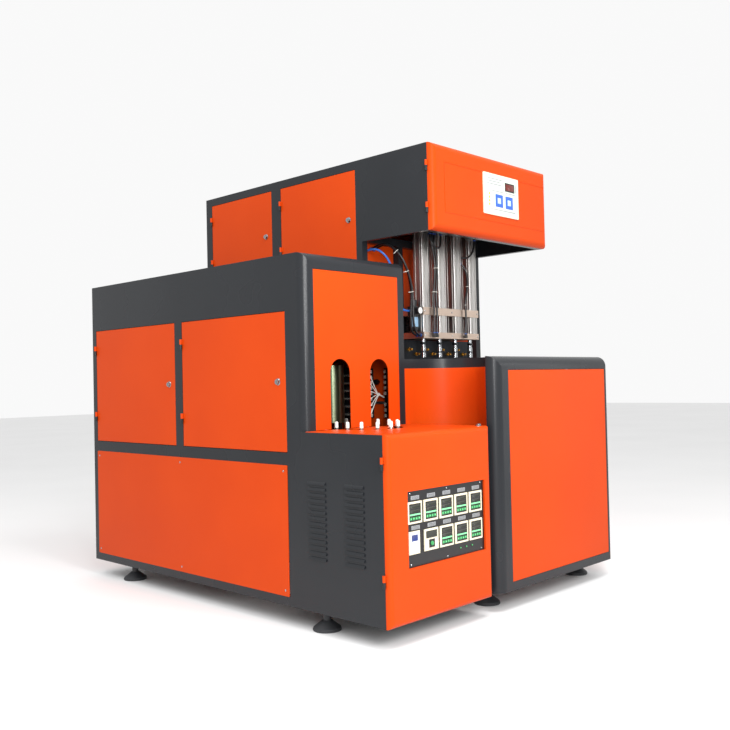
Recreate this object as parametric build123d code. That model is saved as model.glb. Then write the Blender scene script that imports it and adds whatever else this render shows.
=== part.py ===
from build123d import *

import os
from math import atan2, cos, degrees, pi, radians, sin, tan

# Semi-automatic bottle making machine: a preform oven on the left, its control box in front of it,
# and a blowing station on the right whose tower carries an overhanging head.
# Plan coordinates while modelling: x from the oven's left face, y from the control box's front
# face, z from the underside of the cabinets. The last step moves all of it to the part's frame.

# Whole machine
foot_height = 95.0
sheet = 2.5
tube = 44.0
tube_wall = 3.0
seam = 2.0
touch = 0.3

# Preform oven
oven_width = 704.0
oven_front = 511.0
oven_back = 2460.0
oven_height = 1671.0
hood_height = 212.0
corner_radius = 45.0
corner_width = 66.0
mid_rail = 64.0
door_head = 60.0
door_setback = 134.7
door_back_margin = 44.0
door_mullion = (1498.5, 1570.5)
oven_hinge_insets = (120.0, 149.0)
front_panel_drop = 78.0
panel_return = 20.0

# Side doors
door_depth = 20.0
door_wall = 2.5
hinge_radius = 7.0
hinge_pin_radius = 4.0
hinge_half_length = 28.0
hinge_leaf = 13.0
running_clearance = 0.05
lock_head_radius = 12.0
lock_projection = 11.0
lock_shaft_radius = 8.0
lock_inset = 56.0
tongue_reach = 74.0
top_tongue_reach = 34.0
tongue_width = 16.0
tongue_thickness = 3.0

# Arches in the oven's front panel
arch_spacing = 277.0
arch_width = 134.0
arch_height = 340.0

# Preform chain
chain_pitch = 76.2
sprocket_teeth = 12
straight_links = 20
chain_centre_x = 371.5
chain_setback = 51.0
chain_well = 101.0
roller_radius = 10.0
roller_height = 12.0
link_thickness = 6.0
link_half_width = 13.0
holder_height = 81.0
holder_radius = 10.0
track_rise = 25.0
track_thickness = 4.0
track_wall = 3.0
track_feet = (200.0, 1060.0)
drive_beam_offsets = (-104.0, 56.0)
idler_beam_drop = 64.0
shaft_radius = 15.0
tooth_seat_radius = 20.0
sprocket_thickness = 10.0

# Gearbox and motor of the chain
gearbox_half_width = 60.0
gearbox_drop = 14.0
gearbox_flange = 6.0
gearbox_flange_margin = 10.0
motor_adapter_radius = 36.0
motor_adapter_length = 40.0
motor_radius = 48.0
motor_length = 150.0

# Infrared lamps
lamp_count = 6
lamp_radius = 6.0
lamp_rise = 99.0
lamp_pitch = 42.0
lamp_setback = 189.0
lamp_length = 1100.0
rack_offset = 92.0
rack_margin = 12.0
rack_drop = 30.0
island_half_width = 62.0
island_nose = 47.0
island_height = 290.0
fan_z = 1060.0
fan_radius = 110.0
fan_depth = 50.0

# Control box
box_width = 738.0
box_height = 829.0
box_door_depth = 28.0
box_rounding = 25.0
window_left = 124.0
window_right_margin = 54.0
window_low = 240.0
window_high = 574.0
window_recess = 10.0
controller_size = 96.0
controller_depth = 65.0
controller_pitch = 110.0
controller_margin = 4.0
controller_rows = (238.0, 107.0)
louvre_length = 118.0
louvre_height = 15.0
louvre_reach = 7.0
louvre_pitch = 26.5
louvre_count = 14
louvre_low = 243.0
louvre_columns = (203.0, 444.0)
box_hinge_splits = (174.0, 675.0)
box_lock_margin = 30.0
box_lock_setback = 18.0
slot_width = 46.0

# Blowing station
station_left = 796.0
station_width = 1090.0
base_height = 1169.0
base_depth = 889.0
post_width = 108.0
post_depth = 60.5
post_radius = 55.0
rail_height = 69.0
panel_margin = 18.0
tower_back = 2350.0
tower_height = 2306.0
tower_door_drop = 50.0
tower_door_height = 556.0
tower_door_back_margin = 64.0
tower_mullion = (1579.0, 1669.0)
tower_hinge_inset = 136.0
head_front = 368.0
head_height = 463.0
head_lip = 30.0
head_inset = 95.0
head_fold = 6.0
head_door_depth = 37.0
head_door_rounding = 34.0
head_hinge_insets = (90.0, 151.0)
keypad_left = 440.0
keypad_low = 138.0
keypad_width = 340.0
keypad_height = 233.0
keypad_depth = 40.0
keypad_window = (82.0, 40.0)
keypad_rise = 6.0

# Cove between the oven and the station
cove_radius = 225.0
cove_centre_x = 770.0
cove_drop = 289.0
cove_rail_height = 50.0
cove_rail_depth = 30.0
cove_end_angle = -82.0
table_thickness = 6.0
well_width = 740.0
well_front = 104.0
well_back_margin = 19.0

# Mould and clamp
row_setback = 159.0
cavity_pitch = 147.0
cavity_count = 4
cavity_radius = 44.0
neck_radius = 14.0
neck_length = 18.0
shoulder_length = 92.0
base_chamfer = 8.0
mould_floor = 25.0
mould_width = 560.0
mould_depth = 85.0
mould_height = 318.0
mould_drop = 26.0
mould_stroke = 150.0
platen_width = 700.0
platen_thickness = 40.0
platen_below = 75.0
platen_drop = 54.0
tie_bar_radius = 20.0
tie_bar_offset = 312.0
tie_bar_inset = 35.0
tie_bar_end = 12.0
clamp_plate_gap = 59.5
clamp_cylinder_radius = 95.0
clamp_cap_length = 24.0
clamp_cap_margin = 4.0
clamp_rod_radius = 22.0
clamp_rod_free = 90.0
clamp_boss = 12.0
clamp_beam_height = 50.0
clamp_beam_width = 40.0
clamp_beam_spacing = 560.0
column_spacing = 440.0

# Stretch and blow unit
profile_side = 70.0
stretch_reach = 107.0
blow_length = 99.0
upper_plate_thickness = 43.0
lower_plate_rise = 127.0
lower_plate_thickness = 35.0
plate_width = 520.0
plate_overhang = 40.0
platen_gap = 6.0
bore_radius = 25.0
stretch_rod_radius = 6.0
piston_length = 20.0
nozzle_radius = 12.0
nozzle_rise = 19.0
nozzle_foot_radius = 15.0
nozzle_foot_height = 60.0
nozzle_piston = 10.0
rod_recess = 10.0
end_cap = 18.0
groove_width = 7.0
groove_depth = 5.0

# Air lines
hose_radius = 6.0
manifold_length = 512.0
manifold_depth = 50.0
manifold_height = 40.0
manifold_rise = 62.0
port_radius = 8.0
port_length = 12.0
elbow_side = 16.0
regulator_width = 50.0
regulator_height = 53.0
regulator_rise = 5.0
regulator_setback = 10.0
bowl_radius = 24.0
bowl_length = 90.0
knob_radius = 18.0
knob_height = 37.0

# Lamp leads
lead_radius = 2.0
bundle_radius = 4.0
gland_radius = 6.0
gland_length = 8.0
strip_width = 16.0
strip_depth = 9.5
strip_length = 266.0
strip_rise = 131.0
strip_setbacks = (119.5, 222.5)
gather_offset = (-28.0, 18.5, 18.0)
tie_radius = 8.0
tie_length = 10.0

# Levelling feet
foot_radius = 65.0
foot_disc = 14.0
foot_cone = 30.0
foot_neck_radius = 26.0
foot_stem_radius = 18.0
foot_plate_side = 90.0
foot_plate_thickness = 8.0
foot_inset = 34.0
front_post_offset = 7.0
box_feet_setback = 36.0
oven_feet_setback = 320.0
station_feet_y = (185.0, 1300.0)
station_feet_setback = 90.0

# Hoses: what each end fits on, and the route from the middle of the station, the row and the table's top
hose_routes = {
    "loop_left": (
        "up",
        "up",
        (-211, -60, 724),
        (-208, -66, 675),
        (-183, -75, 643),
        (-145, -75, 646),
        (-122, -66, 677),
        (-115, -60, 724),
    ),
    "drop_left": (
        "up",
        "elbow",
        (-189, -60, 724),
        (-194, -58, 661),
        (-165, -54, 576),
        (-167, -54, 481),
        (-185, -55, 376),
        (-178, -55, 261),
        (-181, -54, 161),
    ),
    "drop_middle": (
        "up",
        "elbow",
        (-169, -60, 724),
        (-175, -57, 663),
        (-147, -56, 581),
        (-148, -56, 486),
        (-166, -57, 381),
        (-153, -56, 266),
        (-159, -54, 161),
    ),
    "loop_right": (
        "left",
        "up",
        (120.5, -15, 621),
        (149, -38, 614),
        (180, -56, 634),
        (204, -60, 676),
        (209, -60, 724),
    ),
    "drop_right": (
        "left",
        "elbow",
        (120.5, -18, 583),
        (139, -34, 566),
        (146, -48, 511),
        (137, -56, 436),
        (109, -57, 346),
        (118, -56, 251),
        (112, -54, 161),
    ),
    "side_front": (
        "back",
        "right",
        (-436, 188.5, 646),
        (-442, 132, 661),
        (-448, 76, 663),
        (-438, 20, 637),
        (-406, -20, 576),
        (-366, -32, 481),
        (-338, -32, 387),
        (-339, -31, 295),
        (-333, -28, 203),
        (-309, -24, 153),
        (-272, -22, 144),
    ),
    "side_rear": (
        "back",
        "right",
        (-411, 188.5, 643),
        (-419, 138, 657),
        (-425, 90, 661),
        (-417, 38, 637),
        (-388, -2, 576),
        (-351, -16, 481),
        (-331, -16, 387),
        (-335, -12, 295),
        (-333, -6, 207),
        (-319, 1, 155),
        (-272, 6, 144),
    ),
    "supply": (
        "back",
        "right",
        (-479, 188.5, 631),
        (-481, 132, 639),
        (-457, 88, 617),
        (-416, 70, 566),
        (-396, 67, 496),
        (-393, 62, 431),
        (-401, 45, 356),
        (-386, 22, 297),
        (-356, 12, 281),
        (-322, 10, 282.5),
    ),
}

# Worked out from the sizes above
hood_low = oven_height - hood_height
door_head_height = hood_low - door_head
mid_rail_high = box_height - chain_well
mid_rail_low = mid_rail_high - mid_rail
door_edges_front = (oven_front + door_setback, door_mullion[1])
door_edges_back = (door_mullion[0], oven_back - door_back_margin)
oven_hinge_splits = (mid_rail_high + oven_hinge_insets[0], door_head_height - oven_hinge_insets[1])
front_panel_top = oven_height - front_panel_drop
arch_top = box_height + arch_height
pitch_radius = chain_pitch / (2 * sin(pi / sprocket_teeth))
roller_reach = roller_radius / cos(pi / 8)
chain_front_y = oven_front - chain_setback
chain_rear_y = chain_front_y + straight_links * chain_pitch
track_base = mid_rail_high + track_rise
roller_low = track_base + track_thickness
chain_top = roller_low + roller_height + 2 * link_thickness
drive_beams = [chain_rear_y + offset for offset in drive_beam_offsets]
idler_beam_low = mid_rail_low - idler_beam_drop
lamp_front_y = oven_front + lamp_setback
lamp_low = chain_top + lamp_rise
track_beams = [lamp_front_y + offset for offset in track_feet]
window_right = box_width - window_right_margin
box_lock_x = box_width - box_lock_margin
box_lock_y = box_door_depth + box_lock_setback
station_right = station_left + station_width
station_centre = station_left + station_width / 2
tower_door_high = tower_height - tower_door_drop
tower_door_low = tower_door_high - tower_door_height
tower_edges_front = (base_depth + tube + seam, tower_mullion[1])
tower_edges_back = (tower_mullion[0], tower_back - tower_door_back_margin)
tower_hinge_splits = (tower_door_low + tower_hinge_inset, tower_door_high - tower_hinge_inset)
head_low = tower_height - head_height
head_hinge_splits = (head_low + head_hinge_insets[0], tower_height - head_hinge_insets[1])
cove_centre_y = oven_front - cove_radius
cove_low = box_height - cove_drop
row_y = base_depth - row_setback
row_x = [station_centre + (i - (cavity_count - 1) / 2) * cavity_pitch for i in range(cavity_count)]
mould_high = base_height - mould_drop
mould_low = mould_high - mould_height
platen_low = mould_low - platen_below
platen_high = base_height - platen_drop
clamp_axis_z = (platen_low + platen_high) / 2
clamp_plate_y = post_depth + clamp_plate_gap
clamp_beam_low = platen_low - clamp_beam_height
lower_plate_low = base_height + lower_plate_rise
rear_platen_high = lower_plate_low - platen_gap
stretch_base = lower_plate_low + lower_plate_thickness
blow_high = stretch_base + blow_length
stretch_low = blow_high + upper_plate_thickness
stretch_high = head_low + stretch_reach
nozzle_low = base_height + nozzle_rise
hinge_axis_out = hinge_radius + 1.0
outer_reach = hinge_axis_out + hinge_radius
oven_feet_x = (tube + foot_inset, oven_width - tube - foot_inset)
oven_feet_y = (oven_front - box_feet_setback, oven_back - oven_feet_setback)
station_feet_x = (station_left + tube + foot_inset, station_right - tube - foot_inset)
front_post_x = station_left + post_width + front_post_offset

parts = {}
hinge_pins = []


def span(low, high):
    """Box between two opposite corners."""
    size = [b - a for a, b in zip(low, high)]
    return Pos(*low) * Box(*size, align=(Align.MIN, Align.MIN, Align.MIN))


def bar(low, high, wall=tube_wall):
    """Square tube between two corners, open along its longest side."""
    size = [b - a for a, b in zip(low, high)]
    along = size.index(max(size))
    inner_low = [a if i == along else a + wall for i, a in enumerate(low)]
    inner_high = [b if i == along else b - wall for i, b in enumerate(high)]
    return span(low, high) - span(inner_low, inner_high)


def rod(x, y, z, radius, length, direction=(0, 0, 1)):
    """Round bar from a point along a direction."""
    return Plane(origin=(x, y, z), z_dir=direction) * Cylinder(
        radius, length, align=(Align.CENTER, Align.CENTER, Align.MIN)
    )


def edges_at(shape, axis, **places):
    """Straight edges along an axis whose middles lie at the given places."""
    chosen = []
    for edge in shape.edges().filter_by(axis):
        middle = edge.center()
        if all(abs(getattr(middle, name) - value) < 0.01 for name, value in places.items()):
            chosen.append(edge)
    return chosen


def foot_plate(x, y, face):
    """Plate at the inner face of a tube, over a foot beside it."""
    half = foot_plate_side / 2
    low, high = sorted((face, x + half if x > face else x - half))
    return span((low, y - half, 0), (high, y + half, foot_plate_thickness))


def solids_of(shapes):
    """Flat list of the solids in a list of shapes."""
    return [solid for shape in shapes for solid in shape.solids()]


def node(name, *shapes):
    """Keep the solids of one named piece."""
    parts[name] = solids_of(shapes)


def hinge_halves(plane_x, axis_y, low):
    """Lift-off hinge on a left-hand face: the fixed half with its pin, and the door's half."""
    axis_x = plane_x - hinge_axis_out
    split = low + hinge_half_length
    fixed = rod(axis_x, axis_y, low, hinge_radius, hinge_half_length)
    fixed += rod(axis_x, axis_y, split, hinge_pin_radius, hinge_half_length)
    fixed += span((plane_x - 3, axis_y + 1, low), (plane_x, axis_y + hinge_leaf, split))
    door_low = split + touch
    door = rod(axis_x, axis_y, door_low, hinge_radius, hinge_half_length)
    door_top = door_low + hinge_half_length
    door += span((plane_x - 3, axis_y - hinge_leaf, door_low), (plane_x, axis_y - 1, door_top))
    door -= rod(axis_x, axis_y, door_low, hinge_pin_radius + running_clearance, hinge_half_length)
    return fixed, door


def side_door(plane_x, front_y, back_y, low, high, splits):
    """Dished door on a left-hand face, hinged at its back edge, with its fixed hinge halves and lock."""
    door = span((plane_x, front_y, low), (plane_x + door_depth, back_y, high))
    door = fillet(door.faces().sort_by(Axis.X)[0].edges(), door_wall)
    door -= span(
        (plane_x + door_wall, front_y + door_wall, low + door_wall),
        (plane_x + door_depth, back_y - door_wall, high - door_wall),
    )
    lock_y = front_y + lock_inset
    lock_z = (low + high) / 2
    door -= rod(plane_x, lock_y, lock_z, lock_shaft_radius + running_clearance, door_wall, (1, 0, 0))
    fixed = []
    for split in splits:
        fixed_half, door_half = hinge_halves(plane_x, back_y + seam / 2, split)
        fixed.append(fixed_half)
        door += door_half
    return door, fixed, side_lock(plane_x, lock_y, lock_z)


def side_lock(plane_x, y, z):
    """Quarter-turn lock on a left-hand face, with a key slot; its tongue hangs down while it is open."""
    face_x = plane_x - lock_projection
    lock = rod(face_x, y, z, lock_head_radius, lock_projection, (1, 0, 0))
    lock += rod(plane_x, y, z, lock_shaft_radius, tube + seam, (1, 0, 0))
    tongue_x = plane_x + tube + seam
    half = tongue_width / 2
    lock += span((tongue_x, y - half, z - tongue_reach), (tongue_x + tongue_thickness, y + half, z + half))
    return lock - span((face_x, y - 1.5, z - 7), (face_x + 3, y + 1.5, z + 7))


def formed_skin(low, high, radius, inset):
    """Block with a rounded left front corner and a rounded top front edge, open below and behind."""
    block = span((low[0] + inset, low[1] + inset, low[2]), (high[0] - inset, high[1], high[2] - inset))
    front = low[1] + inset
    corner = edges_at(block, Axis.Z, X=low[0] + inset, Y=front)
    top = edges_at(block, Axis.X, Y=front, Z=high[2] - inset)
    return fillet(corner + top, radius - inset)


def formed_shell(low, high, radius, wall):
    """Sheet-metal shell of that form."""
    return formed_skin(low, high, radius, 0) - formed_skin(low, high, radius, wall)


def louvre(y, z):
    """Pressed louvre on a left-hand face: its bulge, and the hollow and slot behind it."""

    def bulge(reach, length, height):
        top = ThreePointArc((-reach, 0), (-reach * 0.72, height * 0.6), (0, height))
        outline = Wire([Line((0, 0), (-reach, 0)).edge(), top.edge(), Line((0, height), (0, 0)).edge()])
        return Pos(0, length / 2, 0) * extrude(Plane.XZ * make_face(outline), length)

    outer = bulge(louvre_reach, louvre_length, louvre_height)
    half = louvre_length / 2 - 2
    inner = bulge(louvre_reach - 2, louvre_length - 4, louvre_height - 4)
    inner += span((0, -half, 0), (sheet, half, louvre_height - 5))
    return Pos(0, y, z) * outer, Pos(0, y, z) * inner


def make_oven_frame():
    """Welded tubes of the oven, with the rounded column at its left front corner."""
    door_front = door_edges_front[0] - seam
    back = door_edges_back[1] + seam
    right = oven_width - tube
    side_low = mid_rail_low + seam
    side_high = mid_rail_high - seam
    mullion = (door_edges_back[0] + seam, door_edges_front[1] - seam)
    column_back = oven_front + corner_width
    front_back = oven_front + tube
    members = [
        bar((0, back, 0), (tube, oven_back, hood_low)),
        bar((right, back, 0), (oven_width, oven_back, hood_low)),
        bar((0, mullion[0], side_high), (tube, mullion[1], door_head_height + seam)),
        bar((0, column_back, 0), (tube, door_front, hood_low)),
        bar((0, door_front, side_low), (tube, back, side_high)),
        bar((0, door_front, door_head_height + seam), (tube, back, hood_low)),
        bar((0, door_front, 0), (tube, back, tube)),
        bar((right, oven_front, 0), (oven_width, front_back, hood_low)),
        bar((right, front_back, 0), (oven_width, back, tube)),
        bar((right, front_back, side_low), (oven_width, back, side_high)),
        bar((right, front_back, hood_low - tube), (oven_width, back, hood_low)),
        bar((tube, back, 0), (right, oven_back, tube)),
        bar((tube, back, hood_low - tube), (right, oven_back, hood_low)),
        bar((corner_width, oven_front, 0), (right, front_back, tube)),
        bar((corner_width, oven_front, idler_beam_low), (right, front_back, idler_beam_low + tube)),
    ]
    for y in (*track_beams, *drive_beams):
        members.append(bar((tube, y, side_low), (right, y + tube, side_high)))
    members.append(foot_plate(oven_feet_x[0], oven_feet_y[1], tube))
    members.append(foot_plate(oven_feet_x[1], oven_feet_y[1], right))
    lower = bar((0, oven_front, 0), (corner_width, column_back, box_height))
    column = span((0, oven_front, box_height), (corner_width, column_back, hood_low))
    column = fillet(edges_at(column, Axis.Z, X=0, Y=oven_front), corner_radius)
    core = span(
        (tube_wall, oven_front + tube_wall, box_height),
        (corner_width - tube_wall, column_back - tube_wall, hood_low),
    )
    core = fillet(edges_at(core, Axis.Z, X=tube_wall, Y=oven_front + tube_wall), corner_radius - tube_wall)
    node("oven_frame", *members, lower + (column - core))


def make_oven_covers():
    """Hood, screwed panels and the front panel with its two arches."""
    hood = formed_shell((0, oven_front, hood_low), (oven_width, oven_back, oven_height), corner_radius, sheet)
    hood -= span(
        (corner_width, oven_front, hood_low),
        (oven_width - tube, oven_front + corner_radius, front_panel_top + seam),
    )
    rear_wall = span(
        (sheet, oven_back - sheet, hood_low),
        (oven_width - sheet, oven_back, oven_height - sheet),
    )
    node("oven_hood", hood + rear_wall)

    low_panel = span((-sheet, door_edges_front[0], tube), (0, door_edges_back[1], mid_rail_low + seam))
    low_panel = fillet(low_panel.edges().filter_by(Axis.X), 6)
    for z in (tube, mid_rail_low + seam - sheet):
        low_panel += span((0, door_edges_front[0] + 6, z), (panel_return, door_edges_back[1] - 6, z + sheet))
    node("oven_lower_panel", low_panel)

    panel = span(
        (corner_width, oven_front, box_height + seam),
        (oven_width - tube, oven_front + sheet, front_panel_top),
    )
    half = arch_width / 2
    spring = arch_top - half
    for x in (chain_centre_x - arch_spacing / 2, chain_centre_x + arch_spacing / 2):
        panel -= span((x - half, oven_front, box_height), (x + half, oven_front + sheet, spring))
        panel -= rod(x, oven_front, spring, half, sheet, (0, 1, 0))
    node("oven_front_panel", panel)

    back = oven_back - sheet
    inner = oven_width - tube
    side_y = (oven_front + tube, door_edges_back[1] + seam)
    outer_x = (oven_width - sheet, oven_width)
    side = span((outer_x[0], side_y[0], tube), (outer_x[1], side_y[1], mid_rail_low + seam))
    upper = span((outer_x[0], side_y[0], mid_rail_high - seam), (outer_x[1], side_y[1], hood_low - tube))
    rear = span((tube, back, tube), (inner, oven_back, hood_low - tube))
    rear -= rod(oven_width / 2, back, fan_z, fan_radius, sheet, (0, 1, 0))
    node("oven_cover_panels", side, upper, rear)


def make_oven_doors():
    """Two hinged doors on the oven's left side, with their locks."""
    for name, front_y, back_y in zip(("front", "rear"), door_edges_front, door_edges_back):
        door, fixed, lock = side_door(0, front_y, back_y, mid_rail_high, door_head_height, oven_hinge_splits)
        node(f"oven_door_{name}", door)
        node(f"oven_lock_{name}", lock)
        hinge_pins.extend(fixed)


def chain_pins():
    """Centre of each chain pin in order round the loop."""
    left = chain_centre_x - pitch_radius
    right = chain_centre_x + pitch_radius
    step = 2 * pi / sprocket_teeth
    pins = [(left, chain_front_y + i * chain_pitch) for i in range(straight_links)]
    for i in range(sprocket_teeth // 2):
        turn = pi - i * step
        pins.append((chain_centre_x + pitch_radius * cos(turn), chain_rear_y + pitch_radius * sin(turn)))
    pins += [(right, chain_rear_y - i * chain_pitch) for i in range(straight_links)]
    for i in range(sprocket_teeth // 2):
        turn = -i * step
        pins.append((chain_centre_x + pitch_radius * cos(turn), chain_front_y + pitch_radius * sin(turn)))
    return pins


def octagon(radius, height):
    """Eight-sided prism standing on z = 0."""
    return extrude(RegularPolygon(radius, 8, major_radius=False), height)


def make_chain():
    """Preform chain: link plates at two levels by turns, a roller under and a holder over every pin."""
    half = link_half_width
    nose = half * 0.4
    upper = [(-half, nose), (-nose, half), (chain_pitch + nose, half), (chain_pitch + half, nose)]
    outline = upper + [(x, -y) for x, y in reversed(upper)]
    plate = extrude(make_face(Polyline(*outline, close=True)), link_thickness)
    roller = octagon(roller_radius, roller_height)
    tip = Pos(0, 0, holder_height) * RegularPolygon(holder_radius * 0.7, 8, major_radius=False)
    collar = octagon(link_half_width + 4, 5)
    stem = loft([Pos(0, 0, 5) * RegularPolygon(holder_radius, 8, major_radius=False), tip])
    holder = collar + stem
    pins = chain_pins()
    solids = []
    first = 0
    for run in (straight_links, sprocket_teeth // 2, straight_links, sprocket_teeth // 2):
        pieces = []
        for i in range(first, first + run):
            x, y = pins[i]
            next_x, next_y = pins[(i + 1) % len(pins)]
            place = Pos(x, y, roller_low) * Rot(0, 0, degrees(atan2(next_y - y, next_x - x)))
            level = roller_height + i % 2 * link_thickness
            pieces.append(place * Pos(0, 0, level) * plate)
            pieces.append(place * roller)
            pieces.append(place * Pos(0, 0, chain_top - roller_low) * holder)
        joined = pieces[0].fuse(*pieces[1:])
        solids.append(joined)
        first += run
    node("preform_chain", *solids)


def sprocket(centre_y):
    """Toothed wheel under the chain's bend, its teeth a running clearance short of the rollers."""
    low = roller_low + (roller_height - sprocket_thickness) / 2
    wheel = rod(chain_centre_x, centre_y, low, pitch_radius - roller_reach - touch, sprocket_thickness)
    seats = []
    for i in range(sprocket_teeth):
        turn = 2 * pi * i / sprocket_teeth
        x = chain_centre_x + pitch_radius * cos(turn)
        y = centre_y + pitch_radius * sin(turn)
        seats.append(rod(x, y, low, tooth_seat_radius, sprocket_thickness))
    wheel -= seats
    wheel += rod(chain_centre_x, centre_y, low - 8, shaft_radius + 14, sprocket_thickness + 20)
    return wheel, low - 8


def make_drive():
    """Idler on its post in front, and the driven sprocket with shaft, gearbox and motor behind."""
    centre = chain_centre_x
    beam_top = mid_rail_high - seam
    idler, hub_low = sprocket(chain_front_y)
    bore = rod(centre, chain_front_y, 0, shaft_radius + running_clearance, box_height)
    node("idler_sprocket", idler - bore)
    bracket_low = idler_beam_low + tube
    post = span(
        (centre - 45, chain_front_y - 50, bracket_low),
        (centre + 45, oven_front + tube, bracket_low + 8),
    )
    post += rod(centre, chain_front_y, bracket_low + 8, shaft_radius + 8, hub_low - bracket_low - 8)
    post += rod(centre, chain_front_y, hub_low, shaft_radius, box_height - sheet - hub_low)
    node("idler_post", post)

    driven, hub_low = sprocket(chain_rear_y)
    shaft_low = mid_rail_low - gearbox_drop
    driven += rod(centre, chain_rear_y, shaft_low, shaft_radius, hub_low - shaft_low)
    node("drive_sprocket", driven)
    gap = (drive_beams[0] + tube + 2, drive_beams[1] - 2)
    half = gearbox_half_width
    flange_half = half + gearbox_flange_margin
    flange_top = beam_top + gearbox_flange
    gearbox = span((centre - half, gap[0], shaft_low), (centre + half, gap[1], beam_top))
    gearbox += span(
        (centre - flange_half, drive_beams[0], beam_top),
        (centre + flange_half, drive_beams[1] + tube, flange_top),
    )
    gearbox += rod(centre, chain_rear_y, flange_top, shaft_radius + 18, hub_low - flange_top)
    motor_y = (gap[0] + gap[1]) / 2
    motor_z = (shaft_low + beam_top) / 2
    gearbox += rod(centre - half, motor_y, motor_z, motor_adapter_radius, motor_adapter_length, (-1, 0, 0))
    motor_x = centre - half - motor_adapter_length
    gearbox += rod(motor_x, motor_y, motor_z, motor_radius, motor_length, (-1, 0, 0))
    bore = rod(centre, chain_rear_y, shaft_low, shaft_radius + running_clearance, hub_low - shaft_low)
    gearbox -= bore
    node("drive_gearmotor", gearbox)


def make_track():
    """Two guide channels for the chain's straight runs, on feet that stand on the cross beams."""
    beam_top = mid_rail_high - seam
    solids = []
    for x in (chain_centre_x - pitch_radius, chain_centre_x + pitch_radius):
        inside = roller_reach + touch
        outside = inside + track_wall
        front = chain_front_y + pitch_radius + 30
        rear = chain_rear_y - pitch_radius - 30
        channel = span((x - outside, front, track_base), (x + outside, rear, roller_low + roller_height - 1))
        channel -= span((x - inside, front, roller_low), (x + inside, rear, roller_low + roller_height))
        for y in track_beams:
            channel += span((x - outside, y + 6, beam_top), (x + outside, y + tube - 6, track_base))
        solids.append(channel)
    node("chain_track", *solids)


def make_heaters():
    """Lamp racks with back reflectors outside the two chain runs, and the rounded island between them."""
    beam_top = mid_rail_high - seam
    rear = lamp_front_y + lamp_length
    base = lamp_low - rack_drop
    top = lamp_low + lamp_pitch * lamp_count
    lamps = []
    racks = []
    for side in (-1, 1):
        line = chain_centre_x + side * pitch_radius

        def across(near, far):
            ends = sorted((line + side * near, line + side * far))
            return ends[0], ends[1]

        low_x, high_x = across(rack_offset, rack_offset + 2)
        rack = span((low_x, lamp_front_y - rack_margin, base), (high_x, rear + rack_margin, top))
        low_x, high_x = across(rack_offset - 34, rack_offset + 2)
        for y in (lamp_front_y - rack_margin, rear):
            rack += span((low_x, y, base), (high_x, y + rack_margin, top))
        low_x, high_x = across(rack_offset + 2, rack_offset + 22)
        for y in track_beams:
            rack += span((low_x, y + 12, beam_top), (high_x, y + tube - 12, top))
        racks.append(rack)
        lamp_x = line + side * (rack_offset - 18)
        for i in range(lamp_count):
            z = lamp_low + i * lamp_pitch
            lamps.append(rod(lamp_x, lamp_front_y, z, lamp_radius, lamp_length, (0, 1, 0)))
    strips, gland = terminal_strips()
    node("lamp_racks", *racks, *strips)
    node("infrared_lamps", *lamps)
    make_lamp_leads(gland)

    front = lamp_front_y - island_nose

    def stadium(radius):
        ends = Pos(chain_centre_x, front + island_half_width) * Circle(radius)
        ends += Pos(chain_centre_x, rear - island_half_width) * Circle(radius)
        length = rear - front - 2 * island_half_width
        return ends + Pos(chain_centre_x, (front + rear) / 2) * Rectangle(2 * radius, length)

    wall = stadium(island_half_width) - stadium(island_half_width - 2)
    island = Pos(0, 0, base) * extrude(wall, island_height)
    island += Pos(0, 0, base + island_height) * extrude(stadium(island_half_width), 2)
    for y in track_beams:
        for x in (-1, 1):
            leg_x = chain_centre_x + x * (island_half_width - 12)
            island += span((leg_x - 10, y + 12, beam_top), (leg_x + 10, y + tube - 12, base + island_height))
    node("centre_reflector", island)


def make_fan():
    """Exhaust fan in the oven's back panel: square frame with motor on spokes, and its impeller."""
    x = oven_width / 2
    back = oven_back - sheet
    front = back - fan_depth
    side = fan_radius + 12
    frame = span((x - side, front, fan_z - side), (x + side, back, fan_z + side))
    frame -= rod(x, front, fan_z, fan_radius, fan_depth, (0, 1, 0))
    hub_front = back - 20
    frame += rod(x, hub_front, fan_z, 34, 20, (0, 1, 0))
    for turn in (0, 120, 240):
        arm = Pos(0, 0, 0) * Box(8, 12, fan_radius - 26, align=(Align.CENTER, Align.MIN, Align.MIN))
        frame += Pos(x, hub_front + 4, fan_z) * Rot(0, turn, 0) * Pos(0, 0, 30) * arm
    frame += rod(x, front + 2, fan_z, 5, hub_front - front - 2, (0, 1, 0))
    node("fan_frame", frame)
    rotor = rod(x, front + 2, fan_z, 32, 24, (0, 1, 0))
    blade = Box(34, 3, fan_radius - 34, align=(Align.CENTER, Align.CENTER, Align.MIN))
    blade = Pos(0, 0, 28) * Rot(0, 0, 35) * blade
    for i in range(5):
        rotor += Pos(x, front + 14, fan_z) * Rot(0, i * 72, 0) * blade
    rotor -= rod(x, front + 2, fan_z, 5 + running_clearance, 24, (0, 1, 0))
    node("fan_impeller", rotor)


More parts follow.
